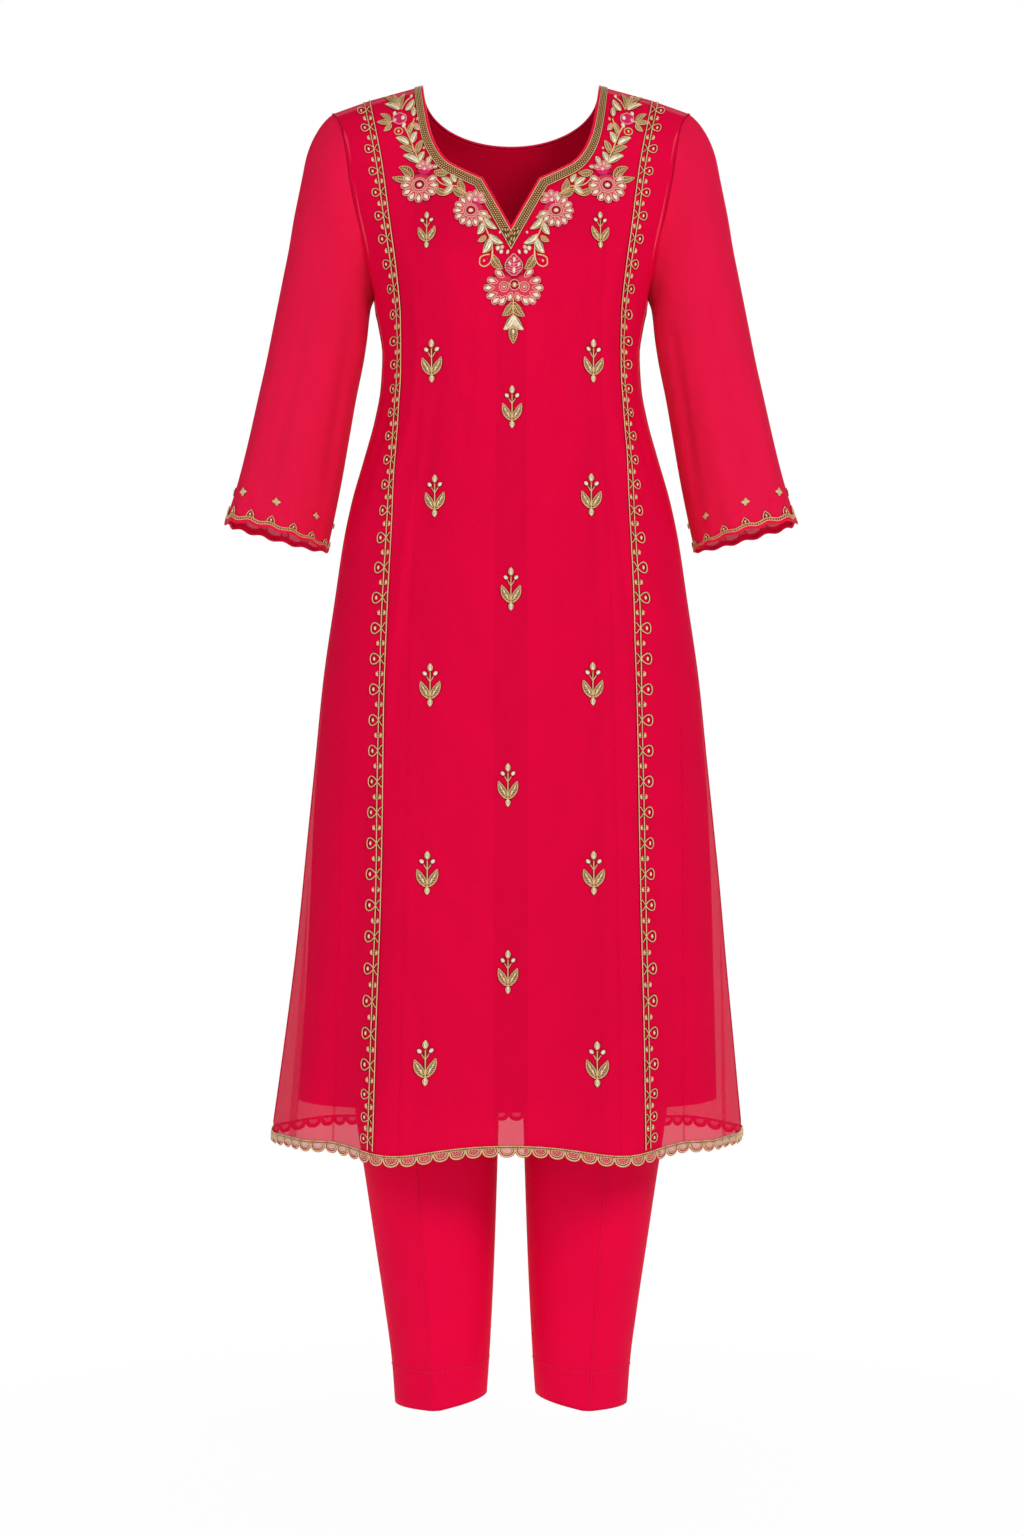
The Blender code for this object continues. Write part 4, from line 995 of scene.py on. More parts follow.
def woven_cloth(name, colour, thread=0.55, crinkle=2.4, depth=0.25, opacity=1.0, roughness=0.75):
    """Plain weave: warp and weft are sine waves across and down, the crinkle is cloudy noise over them. In
    sheer cloth the gaps between threads let light through."""
    shader = Shader(name)
    u, v, flat = shader.flat()
    warp, weft = u.wave(thread * MM), v.wave(thread * 1.1 * MM)
    weave = warp * weft
    crinkle_and_shade = shader.noise(flat, crinkle, 3.0, 0.6)
    patches = shader.noise(flat, 60.0, 2.0)
    # The colour is lighter where the crinkle and weave stand up: painted shade in their hollows, with larger
    # random patches of tone.
    tint = (patches * 0.5 + crinkle_and_shade * 0.5 + weave * 0.06).clipped()
    height = crinkle_and_shade * 0.8 + weave * 0.2
    sockets = {
        "Base_Color": shader.mix(tint, shade(colour, 0.86), shade(colour, 1.13)),
        "Roughness": (crinkle_and_shade * 0.16 + (roughness - 0.08)),
        "Normal": shader.bump(height, depth),
        "Specular_IOR_Level": 0.03,
    }
    if opacity < 1:
        sockets["Alpha"] = (crinkle_and_shade * 0.1 + weave * 0.03 + (opacity - 0.05)).clipped()
    return shader.finish(**sockets)


def twisted_thread(name, colour, dark=0.62, roughness=0.4, metallic=0.0, pitch=1.1, gloss=0.4):
    """Thread or cord: slanting ridges are sine waves of around plus along, with cloudy noise over them."""
    shader = Shader(name)
    u, v, flat = shader.flat()
    ridge_and_shade = (u + v * 0.8).wave(pitch * MM) * 0.5 + 0.5
    cloud = shader.noise(flat, 2.5, 2.0)
    # The colour is lighter on the ridges and darker between them: painted shade in the twist's grooves, with
    # random tone from the noise.
    tint = (ridge_and_shade * 0.45 + cloud * 0.4 + 0.1).clipped()
    return shader.finish(
        Base_Color=shader.mix(tint, shade(colour, dark), shade(colour, 1.15)),
        Roughness=cloud * 0.2 + (roughness - 0.1),
        Metallic=metallic,
        Normal=shader.bump(ridge_and_shade, 0.12),
        Specular_IOR_Level=gloss,
    )


def glass_bead(name, colour):
    """Pearly bead: smooth, with a clear coat, and slightly clouded."""
    shader = Shader(name)
    _, _, flat = shader.flat()
    cloud = shader.noise(flat, 1.5, 2.0)
    return shader.finish(
        Base_Color=shader.mix(cloud.clipped(), shade(colour, 0.82), shade(colour, 1.1)),
        Roughness=cloud * 0.15 + 0.2,
        Coat_Weight=0.5,
        Coat_Roughness=0.15,
    )


def open_net(name, colour, gap=1.5, opacity=0.6):
    """Net of fine threads: two slanting sets of lines, clear between them, with a cloud of finer stitches."""
    shader = Shader(name)
    u, v, flat = shader.flat()
    one = abs((u + v * 0.8).wave(gap * 2 * MM))
    two = abs((u - v * 0.8).wave(gap * 2 * MM))
    thread = 1 - one * two
    cloud = shader.noise(flat, 2.2, 2.0)
    return shader.finish(
        Base_Color=shader.mix(cloud, shade(colour, 0.7), shade(colour, 1.25)),
        Roughness=0.6,
        Alpha=(thread * 0.5 + cloud * 0.3 + (opacity - 0.35)).clipped(),
        Normal=shader.bump(thread, 0.15),
    )


# ------------------------------------------------------------------ settings


def colour_setting(name, description, default):
    return FloatVectorProperty(
        name=name, description=description, default=default, subtype="COLOR", size=3, min=0, max=1
    )


def cover_setting(name, description, default):
    return FloatProperty(name=name, description=description, default=default, min=0, max=1, subtype="FACTOR")


def wall_setting(name, default, most):
    return FloatProperty(
        name=name, description="Thickness in millimetres", default=default, min=0.1, max=most
    )


class SuitColours(bpy.types.PropertyGroup):
    """Colours of the suit's cloths and threads."""

    body: colour_setting("Kameez", "Georgette of the kameez's panels", (0.80, 0.0012, 0.048))
    sleeves: colour_setting("Sleeves", "Georgette of the sleeves", (0.86, 0.006, 0.060))
    lining: colour_setting("Lining", "Lining below the kameez", (0.70, 0.0006, 0.030))
    trousers: colour_setting("Trousers", "Crepe of the trousers", (0.80, 0.0010, 0.046))
    antique: colour_setting("Antique gold", "Dark metal thread", (0.24, 0.07, 0.02))
    dark: colour_setting("Dark gold", "Ground of the neck braid", (0.15, 0.042, 0.012))
    pale: colour_setting("Pale gold", "Light metal cord", (0.90, 0.59, 0.27))
    cream: colour_setting("Cream", "Beads and padded petals", (0.82, 0.73, 0.53))
    magenta: colour_setting("Magenta", "Dark flower thread", (0.74, 0.012, 0.13))
    pink: colour_setting("Pink", "Outlines of the flowers", (0.88, 0.46, 0.38))
    rose: colour_setting("Rose", "Ground of the flowers", (0.74, 0.03, 0.08))
    # This colour is painted shadow: the colour of the shade thread laid round cords, leaves, petals, beads
    # and the braid.
    seam: colour_setting("Seams", "Shaded seams and couching threads", (0.26, 0.001, 0.012))


class SuitSizes(bpy.types.PropertyGroup):
    """Sizes a user may change."""

    body_opacity: cover_setting("Kameez cover", "How much the kameez hides", 0.89)
    back_opacity: cover_setting("Back cover", "How much the back hides", 0.62)
    sleeve_opacity: cover_setting("Sleeve cover", "How much a sleeve hides", 0.945)
    lining_wall: wall_setting("Lining thickness", 0.5, 1.2)
    trouser_wall: wall_setting("Trouser thickness", 0.6, 1.4)
    thread_count: IntProperty(
        name="Threads in 10 mm", description="Fineness of the georgette", default=18, min=6, max=40
    )


# Colour setting, darkest share, roughness, metal and gloss of each thread. The darkest share is the low end
# of a thread's colour, reached in the painted shade between its ridges.
THREADS = {
    "antique_gold": ("antique", 0.35, 0.42, 0.25, 0.4),
    "pale_gold": ("pale", 0.62, 0.4, 0.1, 0.4),
    "magenta_thread": ("magenta", 0.6, 0.5, 0.0, 0.15),
    "pink_thread": ("pink", 0.75, 0.5, 0.0, 0.4),
    "rose_thread": ("rose", 0.6, 0.55, 0.0, 0.15),
    "red_cord": ("body", 0.8, 0.45, 0.0, 0.12),
    "dark_gold": ("dark", 0.4, 0.5, 0.2, 0.2),
    # The shade thread is painted shadow.
    "shade_thread": ("seam", 0.6, 0.7, 0.0, 0.05),
}
NET_COLOUR = (0.72, 0.035, 0.075)


def finishes(colours):
    """Materials of the threads, beads and net, in the order of FINISHES. Each is made once."""
    made = {name: bpy.data.materials.get(name) for name in FINISHES}
    for name in FINISHES:
        if made[name] is not None:
            continue
        if name in THREADS:
            colour, dark, roughness, metallic, gloss = THREADS[name]
            colour = getattr(colours, colour)
            made[name] = twisted_thread(name, colour, dark, roughness, metallic, gloss=gloss)
        elif name == "net":
            made[name] = open_net(name, NET_COLOUR)
        else:
            made[name] = glass_bead(name, colours.cream)
    return made


def sheet_rows():
    """Every sheet, the sheets it rests on and the pieces that go with it."""
    yield "georgette_back", (), ("hem_lace_back_work", "neck_facing_back")
    yield "georgette_front_centre", ("georgette_back",), (
        "braid_neck_band", "satin_neck_piping", "neck_sprays", "rosette_centre", "rosette_left",
        "rosette_right", "rosette_side_left", "rosette_side_right", "hem_lace_front_work", "scattered_butis",
    )
    for tuck, (_, word) in enumerate(SIDES, 1):
        yield f"georgette_front_side_{word}", ("georgette_front_centre", "georgette_back"), (
            f"princess_border_{word}", f"side_seam_{word}", f"georgette_tuck_{tuck}",
            f"georgette_tuck_{tuck + 2}",
        )
    yield "lining_front_cloth", ("georgette_front_centre",), ()
    yield "lining_back_cloth", ("georgette_back",), ()
    for _, word in SIDES:
        pieces = f"cuff_border_{word}", f"armhole_seam_{word}"
        yield f"georgette_sleeve_{word}", ("georgette_back",), pieces
    yield "waistband_cloth", (), ()
    for _, part in FACES:
        for _, word in SIDES:
            pieces = f"trouser_crease_{part}_{word}", f"trouser_stitches_{part}_{word}"
            yield f"crepe_{part}_{word}", ("waistband_cloth",), pieces


def declare_sheets():
    """Runs through every sheet's row and does nothing with it."""
    for name, rests_on, with_pieces in sheet_rows():
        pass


# ------------------------------------------------------------------ operators


class SuitOperator:
    """What the suit's operators share."""

    bl_options = {"REGISTER", "UNDO"}

    def settings(self, context):
        return context.scene.suit_colours, context.scene.suit_sizes, finishes(context.scene.suit_colours)


def kameez_grids(density):
    centre, side, back = kameez_lattices(density, HEM)
    front_x, front_drop = both_sides(*centre)
    back_x, back_drop = both_sides(*back)
    grids = {"front_centre": body_point(front_x, front_drop, -1)}
    grids["front_side_right"] = body_point(*side, -1)
    grids["front_side_left"] = body_point(-side[0][:, ::-1], side[1][:, ::-1], -1)
    grids["back"] = body_point(back_x[:, ::-1], back_drop[:, ::-1], 1)
    return grids


class SUIT_OT_panels(SuitOperator, bpy.types.Operator):
    """Sheer outer layer: centre front, two side fronts and the back"""

    bl_idname = "suit.panels"
    bl_label = "Kameez panels"

    def execute(self, context):
        colours, sizes, _ = self.settings(context)
        thread = 10 / sizes.thread_count
        front = woven_cloth("georgette", colours.body, thread, opacity=sizes.body_opacity)
        back = woven_cloth("georgette_behind", colours.body, thread, opacity=sizes.back_opacity)
        for name, grid in kameez_grids(1.0).items():
            cloth = back if name == "back" else front
            add_cloth(f"georgette_{name}", grid, cloth, [f"kameez_{name}"])
        # The tucks' cloth is the kameez's colour made lighter: painted highlight along the side folds.
        self.tucks(woven_cloth("tuck_cloth", shade(colours.body, 1.1)[:3], thread, opacity=0.55))
        return {"FINISHED"}

    def tucks(self, cloth):
        """Narrow strips that follow the side fronts, where the sheer cloth folds over itself. Their cloth is
        a lighter copy of the kameez's colour, a painted highlight along the folds.
        """
        table = columns(TUCKS, "first", "last", "wide_first", "wide_last", "start", "lift")
        for number, (first, last, wide_first, wide_last, start, lift) in enumerate(zip(*table)):
            drop = np.linspace(start, HEM - 1, 120)[:, None]
            share = (drop - start) / (HEM - start)
            middle = first + (last - first) * share
            x = middle + (wide_first + (wide_last - wide_first) * share) * np.linspace(-0.5, 0.5, 7)
            drop = drop + 0 * x
            grid = body_point(x, drop, -1) + body_outward(x, drop, -1) * lift
            add_cloth(f"georgette_tuck_{number + 1}", grid, cloth, [])


class SUIT_OT_lining(SuitOperator, bpy.types.Operator):
    """Sleeveless lining inside the kameez, standing off it towards the hem"""

    bl_idname = "suit.lining"
    bl_label = "Lining"

    def execute(self, context):
        colours, sizes, _ = self.settings(context)
        cloth = woven_cloth("lining_cloth", colours.lining, 0.4, 3.0, 0.1, roughness=0.6)
        centre, side, back = kameez_lattices(0.5, LINING_HEM)
        right = [np.hstack([one, two[:, 1:]]) for one, two in zip(centre, side)]
        for (face, name), (x, drop) in zip(FACES, (both_sides(*right), both_sides(*back))):
            if face > 0:
                x, drop = x[:, ::-1], drop[:, ::-1]
            inset = read(LINING_INSET, "inset", drop)
            yoke = np.clip((ARMPIT - drop) / 30, 0, 1) * (np.abs(x) > armhole_x(drop) - 6)
            shrink = 1 - 0.012 * yoke
            grid = body_point(x * shrink, drop, face, 0.25)
            grid = grid - body_outward(x * shrink, drop, face, 0.25) * inset[..., None]
            add_cloth(f"lining_{name}_cloth", grid, cloth, [f"lining_{name}"],
                      wall=sizes.lining_wall)
        return {"FINISHED"}


class SUIT_OT_sleeves(SuitOperator, bpy.types.Operator):
    """Three-quarter sleeves, slightly flared, with lengthwise folds"""

    bl_idname = "suit.sleeves"
    bl_label = "Sleeves"

    def execute(self, context):
        colours, sizes, _ = self.settings(context)
        cloth = woven_cloth(
            "sleeve_cloth", colours.sleeves, 10 / sizes.thread_count, 2.2, 0.35,
            opacity=sizes.sleeve_opacity,
        )
        angle = circle(120)
        along = np.linspace(0, 1, 120)[:, None]
        for side, word in SIDES:
            grid = sleeve_point(side, angle[None, :] * -side, along)
            add_cloth(f"georgette_sleeve_{word}", grid, cloth, [f"sleeve_{word}"], True)
        return {"FINISHED"}


class SUIT_OT_trousers(SuitOperator, bpy.types.Operator):
    """Front and back of each trouser leg, with a pressed crease and a gathered waistband"""

    bl_idname = "suit.trousers"
    bl_label = "Trousers"

    def execute(self, context):
        colours, sizes, _ = self.settings(context)
        cloth = woven_cloth("crepe", colours.trousers, 0.45, 2.8, 0.12, roughness=0.62)
        share = np.linspace(0, 1, 47)[None, :]
        drops = np.concatenate([
            np.linspace(WAIST_SEAM, FORK_START, 14, endpoint=False),
            np.linspace(FORK_START, CROTCH, 22, endpoint=False),
            np.linspace(CROTCH, TROUSER_HEM, 116),
        ])[:, None]
        for face, part in FACES:
            right = leg_point(share, drops, face)
            for side, word in SIDES:
                grid = right * (side, 1, 1)
                if side * face > 0:
                    grid = grid[:, ::-1]
                add_cloth(
                    f"crepe_{part}_{word}", grid, cloth, [f"trouser_{part}_{word}"],
                    wall=sizes.trouser_wall,
                )
        self.gather_waistband(cloth)
        return {"FINISHED"}

    def gather_waistband(self, cloth):
        """A band whose gathers are sine waves round it, deepest between its two stitched rows."""
        angle = circle(600)
        drop = np.linspace(WAIST_TOP, WAIST_SEAM, 14)[:, None]
        outer, wave = trouser("outer", drop), np.sin(angle * GATHERS + 0.8 * np.sin(angle * 7))
        depth = np.where(np.cos(angle) > 0, trouser("front", drop), trouser("back", drop))
        x = outer * np.sign(np.sin(angle)) * np.abs(np.sin(angle)) ** (2 / SQUARENESS)
        y = -depth * np.sign(np.cos(angle)) * np.abs(np.cos(angle)) ** (2 / SQUARENESS)
        share = (drop - WAIST_TOP) / (WAIST_SEAM - WAIST_TOP)
        rows = 0.6 + 0.4 * np.abs(np.sin(share * np.pi * 3))
        grid = np.stack([x, y, -drop + 0 * x], axis=-1)
        inward = -unit(grid * (1, 1, 0))
        grid = grid + inward * (GATHER_DEPTH * rows * (0.5 - 0.5 * wave))[..., None]
        add_cloth("waistband_cloth", grid, cloth, ["trouser_waistband"], True, wall=1.6)


class SUIT_OT_neck_trims(SuitOperator, bpy.types.Operator):
    """Satin piping round the neck, and a beaded braid round its front"""

    bl_idname = "suit.neck_trims"
    bl_label = "Neck trims"

    def execute(self, context):
        colours, _, threads = self.settings(context)
        line = neck_edge(-1)
        surface, length = on_neck_band(line, away_from_neck(line))
        band = Stitching()
        run = np.linspace(2, length - 2, 520)
        corner = along_line(line)[np.argmin(np.abs(line[:, 0]))]
        run = np.sort(np.append(run, corner))
        middle = NECK_BAND_WIDTH / 2
        # Painted shadow: a dark loft a little wider than the braid.
        band.loft(level(run, middle), middle + 0.5, 0.7, SHADE, 6)
        band.loft(level(run, middle), middle - 0.9, 0.9, DARK, 8)
        for b in (0.6, NECK_BAND_WIDTH - 0.5):
            band.cord(level(run, b), 1.1, PALE, base=0.2)
        bead = Stitching()
        bead.bead((0, 0), PALE, 0.75, 0.85, height=1.2, turn=np.pi / 2, base=0.5)
        for number, b in enumerate((middle - 2.65, middle, middle + 2.65)):
            band.stamp(bead, level(np.arange(4 + 0.9 * number, length - 4, BEAD_LINE), b))
        for b in (middle - 1.3, middle + 1.4):
            band.cord(level(run, b), 0.6, ANTIQUE, base=0.6)
        sew_on("braid_neck_band", band, surface, threads, ["neck_band"])
        line = neck_edge(1)
        surface, length = on_neck_band(line, away_from_neck(line), 1)
        facing, run = Stitching(), np.linspace(0.5, length - 0.5, 200)
        facing.loft(level(run, 5.5), 6.5, 0.5, RED, 6)
        sew_on("neck_facing_back", facing, surface, threads, [], mirrored=True)
        self.roll_piping(colours)
        return {"FINISHED"}

    def roll_piping(self, colours):
        """A round cord along the neck edge: rings of points in the plane across the edge, mitred."""
        rows = []
        for face, line in ((-1, neck_edge(-1)[::-1]), (1, neck_edge(1))):
            rows.append((body_point(*line.T, face), body_outward(*line.T, face)))
        centre = np.vstack([rows[0][0], rows[1][0][1:-1]])
        outward = np.vstack([rows[0][1], rows[1][1][1:-1]])
        ahead = unit(np.roll(centre, -1, axis=0) - centre)
        behind = np.roll(ahead, 1, axis=0)
        towards = -centre * (1, 1, 0) + (0, 0, 40)
        sides = []
        for run in (behind, ahead):
            across = unit(np.cross(run, outward))
            sides.append(across * np.sign((across * towards).sum(axis=1, keepdims=True)))
        corner = 1 + (sides[0] * sides[1]).sum(axis=1, keepdims=True)
        mitre = (sides[0] + sides[1]) / np.maximum(corner, 0.5)
        middle = centre + mitre * PIPING_OUT
        clear = unit(mitre)
        out = unit(np.cross(clear, unit(ahead + behind)))
        turn = circle(12)
        rings = middle[:, None] + PIPING_RADIUS * (
            mitre[:, None] * np.cos(turn)[:, None] + out[:, None] * np.sin(turn)[:, None]
        )
        satin = twisted_thread("satin", colours.body, 0.85, 0.4, pitch=4.0, gloss=0.12)
        wrap_cord("satin_neck_piping", rings, satin, ["neck_piping"])


class SUIT_OT_princess_borders(SuitOperator, bpy.types.Operator):
    """Looped cord and beads outside each princess seam"""

    bl_idname = "suit.princess_borders"
    bl_label = "Princess borders"

    def execute(self, context):
        _, _, threads = self.settings(context)
        drop = np.linspace(17, HEM - 3, 900)
        border = Stitching()
        border.cord_over_painted_shadow(level(0, -drop), 1.05, PALE)
        border.cord_over_painted_shadow(level(BORDER_CORD, -drop), 1.05, PALE)
        spots = np.array(LOOP_DROPS)
        at = level(0, -spots)
        sizes = np.ones((len(spots), 3))
        sizes[:, 1] = np.clip(np.gradient(spots) / FULL_LOOP, 0.76, 1.0)
        sizes[:, 0] = np.clip(sizes[:, 1] + 0.1, 0, 1)
        border.stamp(self.loop(), at, scale=sizes)
        border.stamp(self.bud(), (at[:-1] + at[1:]) / 2)
        for side, word in SIDES:
            sew_on(
                f"princess_border_{word}", border, on_princess_seam(side), threads,
                [f"princess_braid_{word}"], mirrored=side < 0,
            )
        return {"FINISHED"}

    def loop(self):
        """A loop outside the second cord, a pearl in it, and two ribbons back to the seam's cord."""
        loop = Stitching()
        turn = circle(24)
        spread = level(10.4 - 4.9 * np.cos(turn), 4.9 * np.sin(turn) * (1 - 0.4 * np.cos(turn)))
        loop.cord_over_painted_shadow(spread, 1.1, PALE, closed=True)
        loop.bead((11.4, 0), CREAM, 1.1, 1.9, turn=np.pi / 2, height=1.6)
        for way in (-1, 1):
            ribbon = np.array([[BORDER_CORD, 0], [3.9, way * 1.6], [2.4, way * 4.0], [0.4, way * 5.4]])
            loop.cord_over_painted_shadow(ribbon, 0.9, PALE, base=0.2)
        return loop

    def bud(self):
        """Two crescents and two beads on the second cord, between two loops."""
        bud = Stitching()
        for way in (-1, 1):
            crescent = np.array([[1.3, -2.0], [3.3, -1.2], [3.5, 1.0], [2.0, 2.4]]) * (way, 1)
            bud.loft(crescent + (BORDER_CORD, 0), (0.4, 0.8, 0.8, 0.4), 1.3, PALE, 6)
            bud.bead((BORDER_CORD + way * 2.2, 0), CREAM, 0.6, 1.0, turn=np.pi / 2, height=1.4)
        return bud


class SUIT_OT_hem_laces(SuitOperator, bpy.types.Operator):
    """Scalloped lace round the hem: an arch of cord over net, and short stitches in it"""

    bl_idname = "suit.hem_laces"
    bl_label = "Hem laces"

    def execute(self, context):
        _, _, threads = self.settings(context)
        for face, word in FACES:
            surface, length = on_hem(face)
            count = LACE_SCALLOPS[word]
            pitch = (length - 4) / count
            lace = self.scallops(pitch, count)
            sew_on(f"hem_lace_{word}_work", lace, surface, threads, [f"hem_lace_{word}"],
                   lift=0.9)
        return {"FINISHED"}

    def scallops(self, pitch, count):
        one = Stitching()
        turn = np.linspace(0, np.pi, 17)
        half = pitch / 2
        for inset, down, width, finish in ((0.8, 7.2, 1.35, PALE), (2.7, 5.2, 0.7, CREAM)):
            arch = level(half - (half - inset) * np.cos(turn), -LACE_TOP - down * np.sin(turn) ** 0.7)
            one.loft(arch, width / 2 + 0.6, 0.35, ROSE, 4)
            one.cord(arch, width, finish, sides=4, base=0.2)
        rows = np.linspace(0, 1, 4)[:, None]
        across = half - (half - 0.7) * np.cos(turn)[None, :]
        down = rows * (-LACE_TOP - 6.8 * np.sin(turn) ** 0.7)[None, :]
        net = np.stack([across + 0 * down, down, 0 * down + 0.2], axis=-1)
        places = corner_places(net[..., :2])
        faces = grid_faces(*net.shape[:2])
        one.add(net.reshape(-1, 3), faces, places, np.full(len(faces), NET))
        for radius, stitches in ((1.6, 3), (3.6, 6)):
            for k in range(stitches):
                angle = (k + 0.5) * math.pi / stitches
                spot = (half - radius * 1.2 * math.cos(angle), -2.0 - radius * 0.85 * math.sin(angle))
                one.bead(spot, CREAM, 0.36, 0.6, turn=-angle, height=0.9, base=0.3)
        # Painted shadow: a dark loft under the header's cords.
        one.loft(np.array([[0, -0.3], [half, -0.3], [pitch, -0.3]]), 1.4, 0.4, SHADE, 4)
        for b, width in ((0.6, 0.95), (-1.3, 0.65)):
            one.cord(np.array([[0, b], [half, b], [pitch, b]]), width, PALE, height=0.9)
        for k in range(6):
            one.bead(((k + 0.5) * pitch / 6, -0.4), CREAM, 0.35, 0.5, turn=np.pi / 2, height=0.8, base=0.2)
        one.cord(np.array([[0, -1.3], [0.1, -3.4], [0, -4.6]]), 1.0, PALE)
        lace = Stitching()
        lace.stamp(one, level(2 + pitch * np.arange(count), 0))
        return lace


class SUIT_OT_cuffs(SuitOperator, bpy.types.Operator):
    """Ogee arches of gold line round each cuff, a scalloped red edge below and small sprigs above"""

    bl_idname = "suit.cuffs"
    bl_label = "Cuffs"

    def execute(self, context):
        _, _, threads = self.settings(context)
        for side, word in SIDES:
            surface, length = on_cuff(side)
            pitch = length / CUFF_SCALLOPS
            cuff = Stitching()
            starts = CUFF_SHIFT[side] + pitch * np.arange(CUFF_SCALLOPS)
            cuff.stamp(self.arch(pitch), level(starts, 0))
            cuff.stamp(self.sprig(), level(*columns(SPRIGS, "around", "up")))
            sew_on(f"cuff_border_{word}", cuff, surface, threads, [f"cuff_{word}"],
                   mirrored=side > 0)
        return {"FINISHED"}

    def arch(self, pitch):
        """One repeat: a sagging double line with stitches between, an ogee loop in its middle, and the satin
        edge that follows it below."""
        one = Stitching()
        share = np.linspace(0, 1, 17)
        sag = 2.6 * np.cos(np.pi * (share - 0.5)) ** 2 - 1.3
        # Painted shadow: a wide dark loft under the double line.
        one.loft(level(share * pitch, 2.5 + sag), 2.1, 0.5, SHADE, 6)
        for offset in (1.0, 4.0):
            one.cord(level(share * pitch, offset + sag), 1.0, PALE, base=0.2)
        for k in range(9):
            place = (k + 0.5) / 9
            up = 2.5 + 2.6 * math.cos(math.pi * (place - 0.5)) ** 2 - 1.3
            one.bead((place * pitch, up), PALE, 0.6, 0.8, turn=0.6, height=1.0, base=0.2)
        middle = pitch / 2
        spread, rise = (-3.9, -3.7, -2.7, -1.1, 0, 1.1, 2.7, 3.7, 3.9), (5.0, 7.4, 9.9, 11.7, 13.4)
        ogee = level(middle + np.array(spread), rise + rise[-2::-1])
        one.cord_over_painted_shadow(ogee, 1.05, PALE)
        one.drop((middle, 7.9), 3.4, 1.9, np.pi / 2, CREAM, height=1.3)
        for way in (-1, 1):
            one.bead((middle + way * 1.9, 6.6), ANTIQUE, 0.55, 1.0, turn=np.pi / 2 + way * 0.4)
        edge = level(share * pitch, -0.9 + sag * 1.1)
        one.loft(edge, 1.9, 1.1, RED, 8)
        one.cord(edge + (0, -1.7), 0.9, RED)
        return one

    def sprig(self):
        """Four small petals set crosswise, and a knot."""
        one = Stitching()
        for k in range(4):
            ahead = heading(0.3 + k * np.pi / 2)
            one.leaf(ahead * 0.4, ahead * 4.3, 2.9, (CREAM, ANTIQUE)[k % 2], height=0.9, rings=7, edge=PALE)
        one.bead((0, 0), PALE, 0.8, 0.8, height=1.8)
        return one


# Left spray beside the neck. Leaves: base across and drop, tip across and drop, width, finish and bow.
LEAVES = (
    (-103, 34, -96, 22, 6.5, CREAM, 0.10), (-95.5, 41, -95, 31.5, 4.6, CREAM, 0.0),
    (-110, 33, -124, 25.5, 6, CREAM, 0.12), (-110, 32, -125, 15, 6.5, ANTIQUE, 0.12),
    (-109, 32, -105, 13.5, 5.5, ANTIQUE, -0.10), (-110, 31, -116, 14, 5, ANTIQUE, 0.05),
    (-118, 46, -128, 37, 5, ANTIQUE, 0.10), (-118, 47, -131, 46, 5, ANTIQUE, 0.0),
    (-118, 48.5, -124, 56, 5, ANTIQUE, -0.12), (-100, 71, -112, 64, 6.5, CREAM, 0.10),
    (-95, 80, -108, 73.5, 6.5, ANTIQUE, 0.12), (-90, 91, -104.5, 83, 7.5, CREAM, 0.12),
    (-96, 69.5, -92, 59, 6.5, CREAM, -0.12), (-93.5, 49.5, -89.5, 56.5, 5, PINK, 0.10),
    (-91, 80, -86.5, 68, 5.6, ANTIQUE, -0.08), (-99.5, 61, -95.5, 48, 4.5, ANTIQUE, -0.06),
    (-88.5, 89, -84.5, 80, 5.6, CREAM, -0.10), (-81, 92, -78, 85, 5, CREAM, -0.05),
    (-75.5, 96, -71.5, 95.4, 3.4, CREAM, 0.0), (-96, 107, -108.5, 95, 8.5, ANTIQUE, 0.14),
    (-96, 107.5, -115, 105, 6.5, ANTIQUE, -0.08), (-74, 101, -61, 102.5, 7, ANTIQUE, 0.08),
    (-57.5, 115.5, -67, 108, 6.5, CREAM, 0.08), (-54, 112.5, -58, 104.5, 5.5, CREAM, 0.05),
    (-57, 116.5, -65, 124.5, 6.5, CREAM, -0.08), (-60, 124, -74, 117.5, 6.5, ANTIQUE, -0.14),
    (-43, 125.5, -55.5, 119.5, 8.5, ANTIQUE, -0.10), (-45, 124.5, -49.5, 109.5, 7, ANTIQUE, -0.08),
    (-28, 145, -19.5, 150, 5, ANTIQUE, 0.10), (-25, 151, -14, 161.5, 6.2, CREAM, 0.10),
    (-20.5, 167.5, -8, 176, 6.6, CREAM, 0.12), (-27.5, 156, -32, 167, 6.5, CREAM, -0.12),
    (-24.5, 169, -31.5, 174, 5, ANTIQUE, -0.10), (-20.5, 172, -27, 185.5, 7.5, CREAM, -0.12),
    (-17, 188, -8.5, 200.5, 8, ANTIQUE, 0.14),
)
STEMS = (
    ((-104.6, 51), (-100.4, 61), (-96.2, 72), (-92, 82.5), (-88.6, 91.5), (-87, 97)),
    ((-31, 143.7), (-27.2, 153), (-22.8, 164.5), (-18.4, 176), (-17.5, 188), (-17, 193)),
    ((-75, 105.5), (-67.5, 113.7), (-61, 116.2), (-53.7, 116.8), (-48, 121), (-43, 125.5)),
    ((-107.5, 33), (-103.8, 24.5), (-98, 18)),
    ((-104.6, 53), (-101, 58), (-97, 53), (-94.5, 44)),
    ((-112, 44), (-116, 46), (-119, 47.2)),
)
# The curl below the spray, as points along its cord.
CURL = ((-17.8, 181), (-18.4, 189), (-20.5, 195.5), (-26, 198.6), (-30.2, 195.8), (-29.9, 191),
        (-25.5, 187.8), (-20.5, 187))
